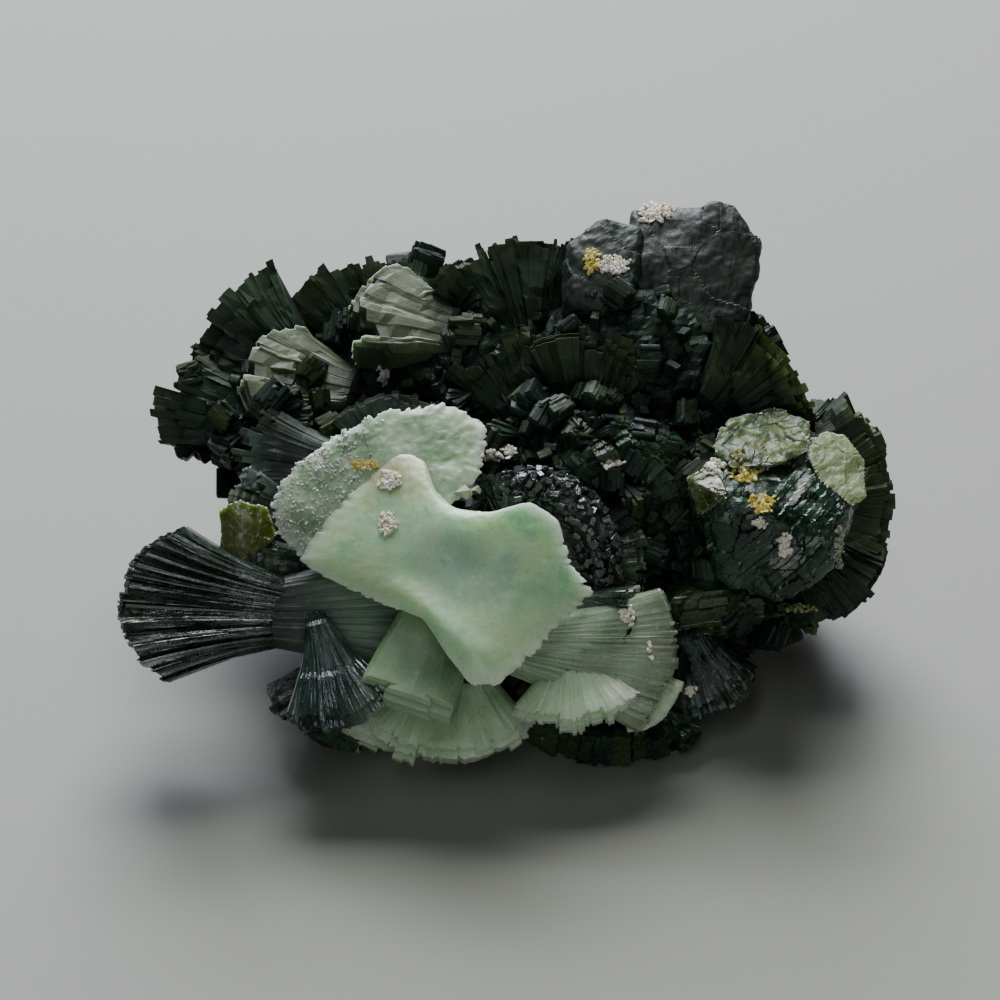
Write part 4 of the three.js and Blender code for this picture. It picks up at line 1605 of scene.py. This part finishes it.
@dataclass(frozen=True)
class Calcite:
    """Crusts of calcite grains, each on the crystals that it is seen on."""

    name: str = "calcite"
    patches: tuple[Patch, ...] = (
        Patch((715, 467), (0.6, 0.5)), Patch((746, 475), (1.1, 0.5), Tint.YELLOW),
        Patch((762, 503), (0.9, 0.65), Tint.YELLOW), Patch((760, 522), (0.5, 0.3)),
        Patch((784, 545), (0.45, 0.8)), Patch((738, 455), (0.6, 0.4), Tint.LIME),
        Patch((800, 608), (1.0, 0.25), Tint.LIME), Patch((838, 550), (0.3, 1.6), Tint.GRAY),
        Patch((390, 480), (0.75, 0.65)), Patch((388, 523), (0.6, 0.8)), Patch((627, 616), (0.5, 0.6)),
        Patch((655, 212), (1.2, 0.7)), Patch((592, 262), (0.5, 0.8), Tint.YELLOW),
        Patch((615, 265), (1.1, 0.6)), Patch((690, 690), (0.35, 0.35)), Patch((612, 464), (0.8, 0.3)),
        Patch((462, 492), (0.1, 0.1), Tint.GRAY, (1.2, 1.3)),
        Patch((474, 491), (0.1, 0.1), Tint.GRAY, (1.0, 1.1)), Patch((650, 652), (0.1, 0.8)),
        Patch((492, 456), (0.7, 0.4)), Patch((509, 452), (0.45, 0.4)), Patch((383, 375), (0.4, 0.7)),
        Patch((365, 465), (1.0, 0.35), Tint.YELLOW, (0.1, 0.25)))
    cover: float = 4.5
    pixel_mm: float = 0.0645
    seed: int = 100

    def build(self, carriers: list[Piece]) -> Piece:
        """Sets the grains on what carries them.

        Args:
            carriers: the pieces that a crust may grow on.

        Returns:
            The finished piece.
        """
        graph = bpy.context.evaluated_depsgraph_get()
        trees = [BVHTree.FromObject(piece, graph) for piece in carriers]
        finishes = {tint: CalciteGrains(f"{tint.name.lower()} calcite crust", *tint.value).material()
                    for tint in Tint}
        shapes = [grain_mesh(seed) for seed in range(4)]
        meshes = []
        for number, patch in enumerate(self.patches):
            rng = np.random.default_rng(self.seed + number)
            grain = sum(patch.grain) / 2
            count = 1 + int(self.cover * patch.radii[0] * patch.radii[1] / (grain / 2) ** 2)
            for _ in range(count):
                turn_about = rng.uniform(0, 2 * math.pi)
                reach = rng.uniform(0, 1) ** 0.6 * rng.uniform(0.8, 1.1)
                shift = np.array((math.cos(turn_about), math.sin(turn_about))) * reach
                spread = shift * np.array(patch.radii) / self.pixel_mm
                eye, look = pixel_ray((patch.pixel[0] + spread[0], patch.pixel[1] + spread[1]))
                hits = [hit for tree in trees
                        if (hit := tree.ray_cast(eye * MM, look, 1.0))[0] is not None]
                if not hits:
                    continue
                spot, normal, _, _ = min(hits, key=lambda hit: hit[3])
                size = rng.uniform(*patch.grain)
                turn = Vector(rng.normal(size=3)).normalized().to_track_quat("Z", "Y").to_matrix()
                mesh = shapes[rng.integers(len(shapes))].copy()
                place = spot / MM + normal * size * 0.2
                mesh.transform(Matrix.Translation(place) @ turn.to_4x4()
                               @ Matrix.Diagonal((size, size, size * rng.uniform(0.6, 1.0), 1.0)))
                mesh.materials.append(finishes[patch.tint])
                meshes.append(mesh)
        return finished(self.name, meshes, CalciteGrains.slot)


@dataclass(frozen=True)
class Lamp:
    """A soft lamp that looks at the specimen: its place and size in millimetres and its watts."""

    name: str
    place: Place
    size: Size
    power: float
    colour: str

    def build(self) -> None:
        """Sets up the lamp."""
        data = bpy.data.lights.new(self.name, "AREA")
        data.shape = "RECTANGLE"
        data.size, data.size_y = (length * MM for length in self.size)
        data.energy = self.power
        data.color = linear(self.colour)[:3]
        lamp = placed(self.name, data)
        lamp.location = Vector(self.place) * MM
        lamp.rotation_euler = (TARGET - Vector(self.place)).to_track_quat("-Z", "Y").to_euler()


@dataclass(frozen=True)
class Studio:
    """A plain pale table, soft light from behind, above and the room in front, and the camera."""

    table: float = 3.0
    lamps: tuple[Lamp, ...] = (
        Lamp("window", (-50, 330, 230), (240, 240), 2.45, "#e4e6fb"),
        Lamp("sky", (0, 190, 310), (220, 220), 1.75, "#f4f6f4"),
        Lamp("strip", (-30, -170, 330), (24, 320), 0.18, "#eceefa"),
        Lamp("room", (20, -340, 80), (260, 120), 0.26, "#e8eee8"))
    ambient: tuple[str, float] = ("#c9ccd2", 0.008)

    def build(self) -> None:
        """Sets up the table, the light and the camera."""
        half = self.table / 2
        mesh = bpy.data.meshes.new("table")
        mesh.from_pydata([(-half, -half, 0), (half, -half, 0), (half, half, 0), (-half, half, 0)],
                         [], [(0, 1, 2, 3)])
        mesh.materials.append(PlainTable().material())
        placed("table", mesh)
        for lamp in self.lamps:
            lamp.build()
        world = bpy.data.worlds.new("room")
        world.use_nodes = True
        world.node_tree.nodes.clear()
        shine = add(world.node_tree, "ShaderNodeBackground", {
            "Color": linear(self.ambient[0]), "Strength": self.ambient[1]})
        add(world.node_tree, "ShaderNodeOutputWorld", {"Surface": shine})
        bpy.context.scene.world = world
        data = bpy.data.cameras.new("camera")
        data.lens = LENS
        data.sensor_width = SENSOR
        data.clip_start = 0.01
        camera = placed("camera", data)
        camera.location = pixel_ray((PICTURE / 2, PICTURE / 2))[0] * MM
        camera.rotation_euler = (math.pi / 2 - LOOK_DOWN, 0.0, 0.0)
        bpy.context.scene.camera = camera


def main() -> None:
    """Builds the specimen's pieces in order and reports each one."""
    logging.basicConfig(level=logging.INFO, format="%(message)s")
    noise.seed_set(NOISE_SEED)
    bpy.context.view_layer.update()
    Studio().build()
    druse = CrustTool("druse", [crystal_mesh(end) for end in End])
    tufts = CrustTool("tufts", [tuft_mesh(seed) for seed in range(5)])
    pieces = [group.build() for group in SHEAVES]
    pieces += [blade.build(druse) for blade in BLADES]
    pieces += [crystal.build() for crystal in CLEAR_CRYSTALS]
    pieces += [block.build() for block in BLOCKS]
    pieces += [DruseArc().build(druse), *Core().build(druse, tufts)]
    Calcite().build(pieces)


if __name__ == "__main__":
    main()
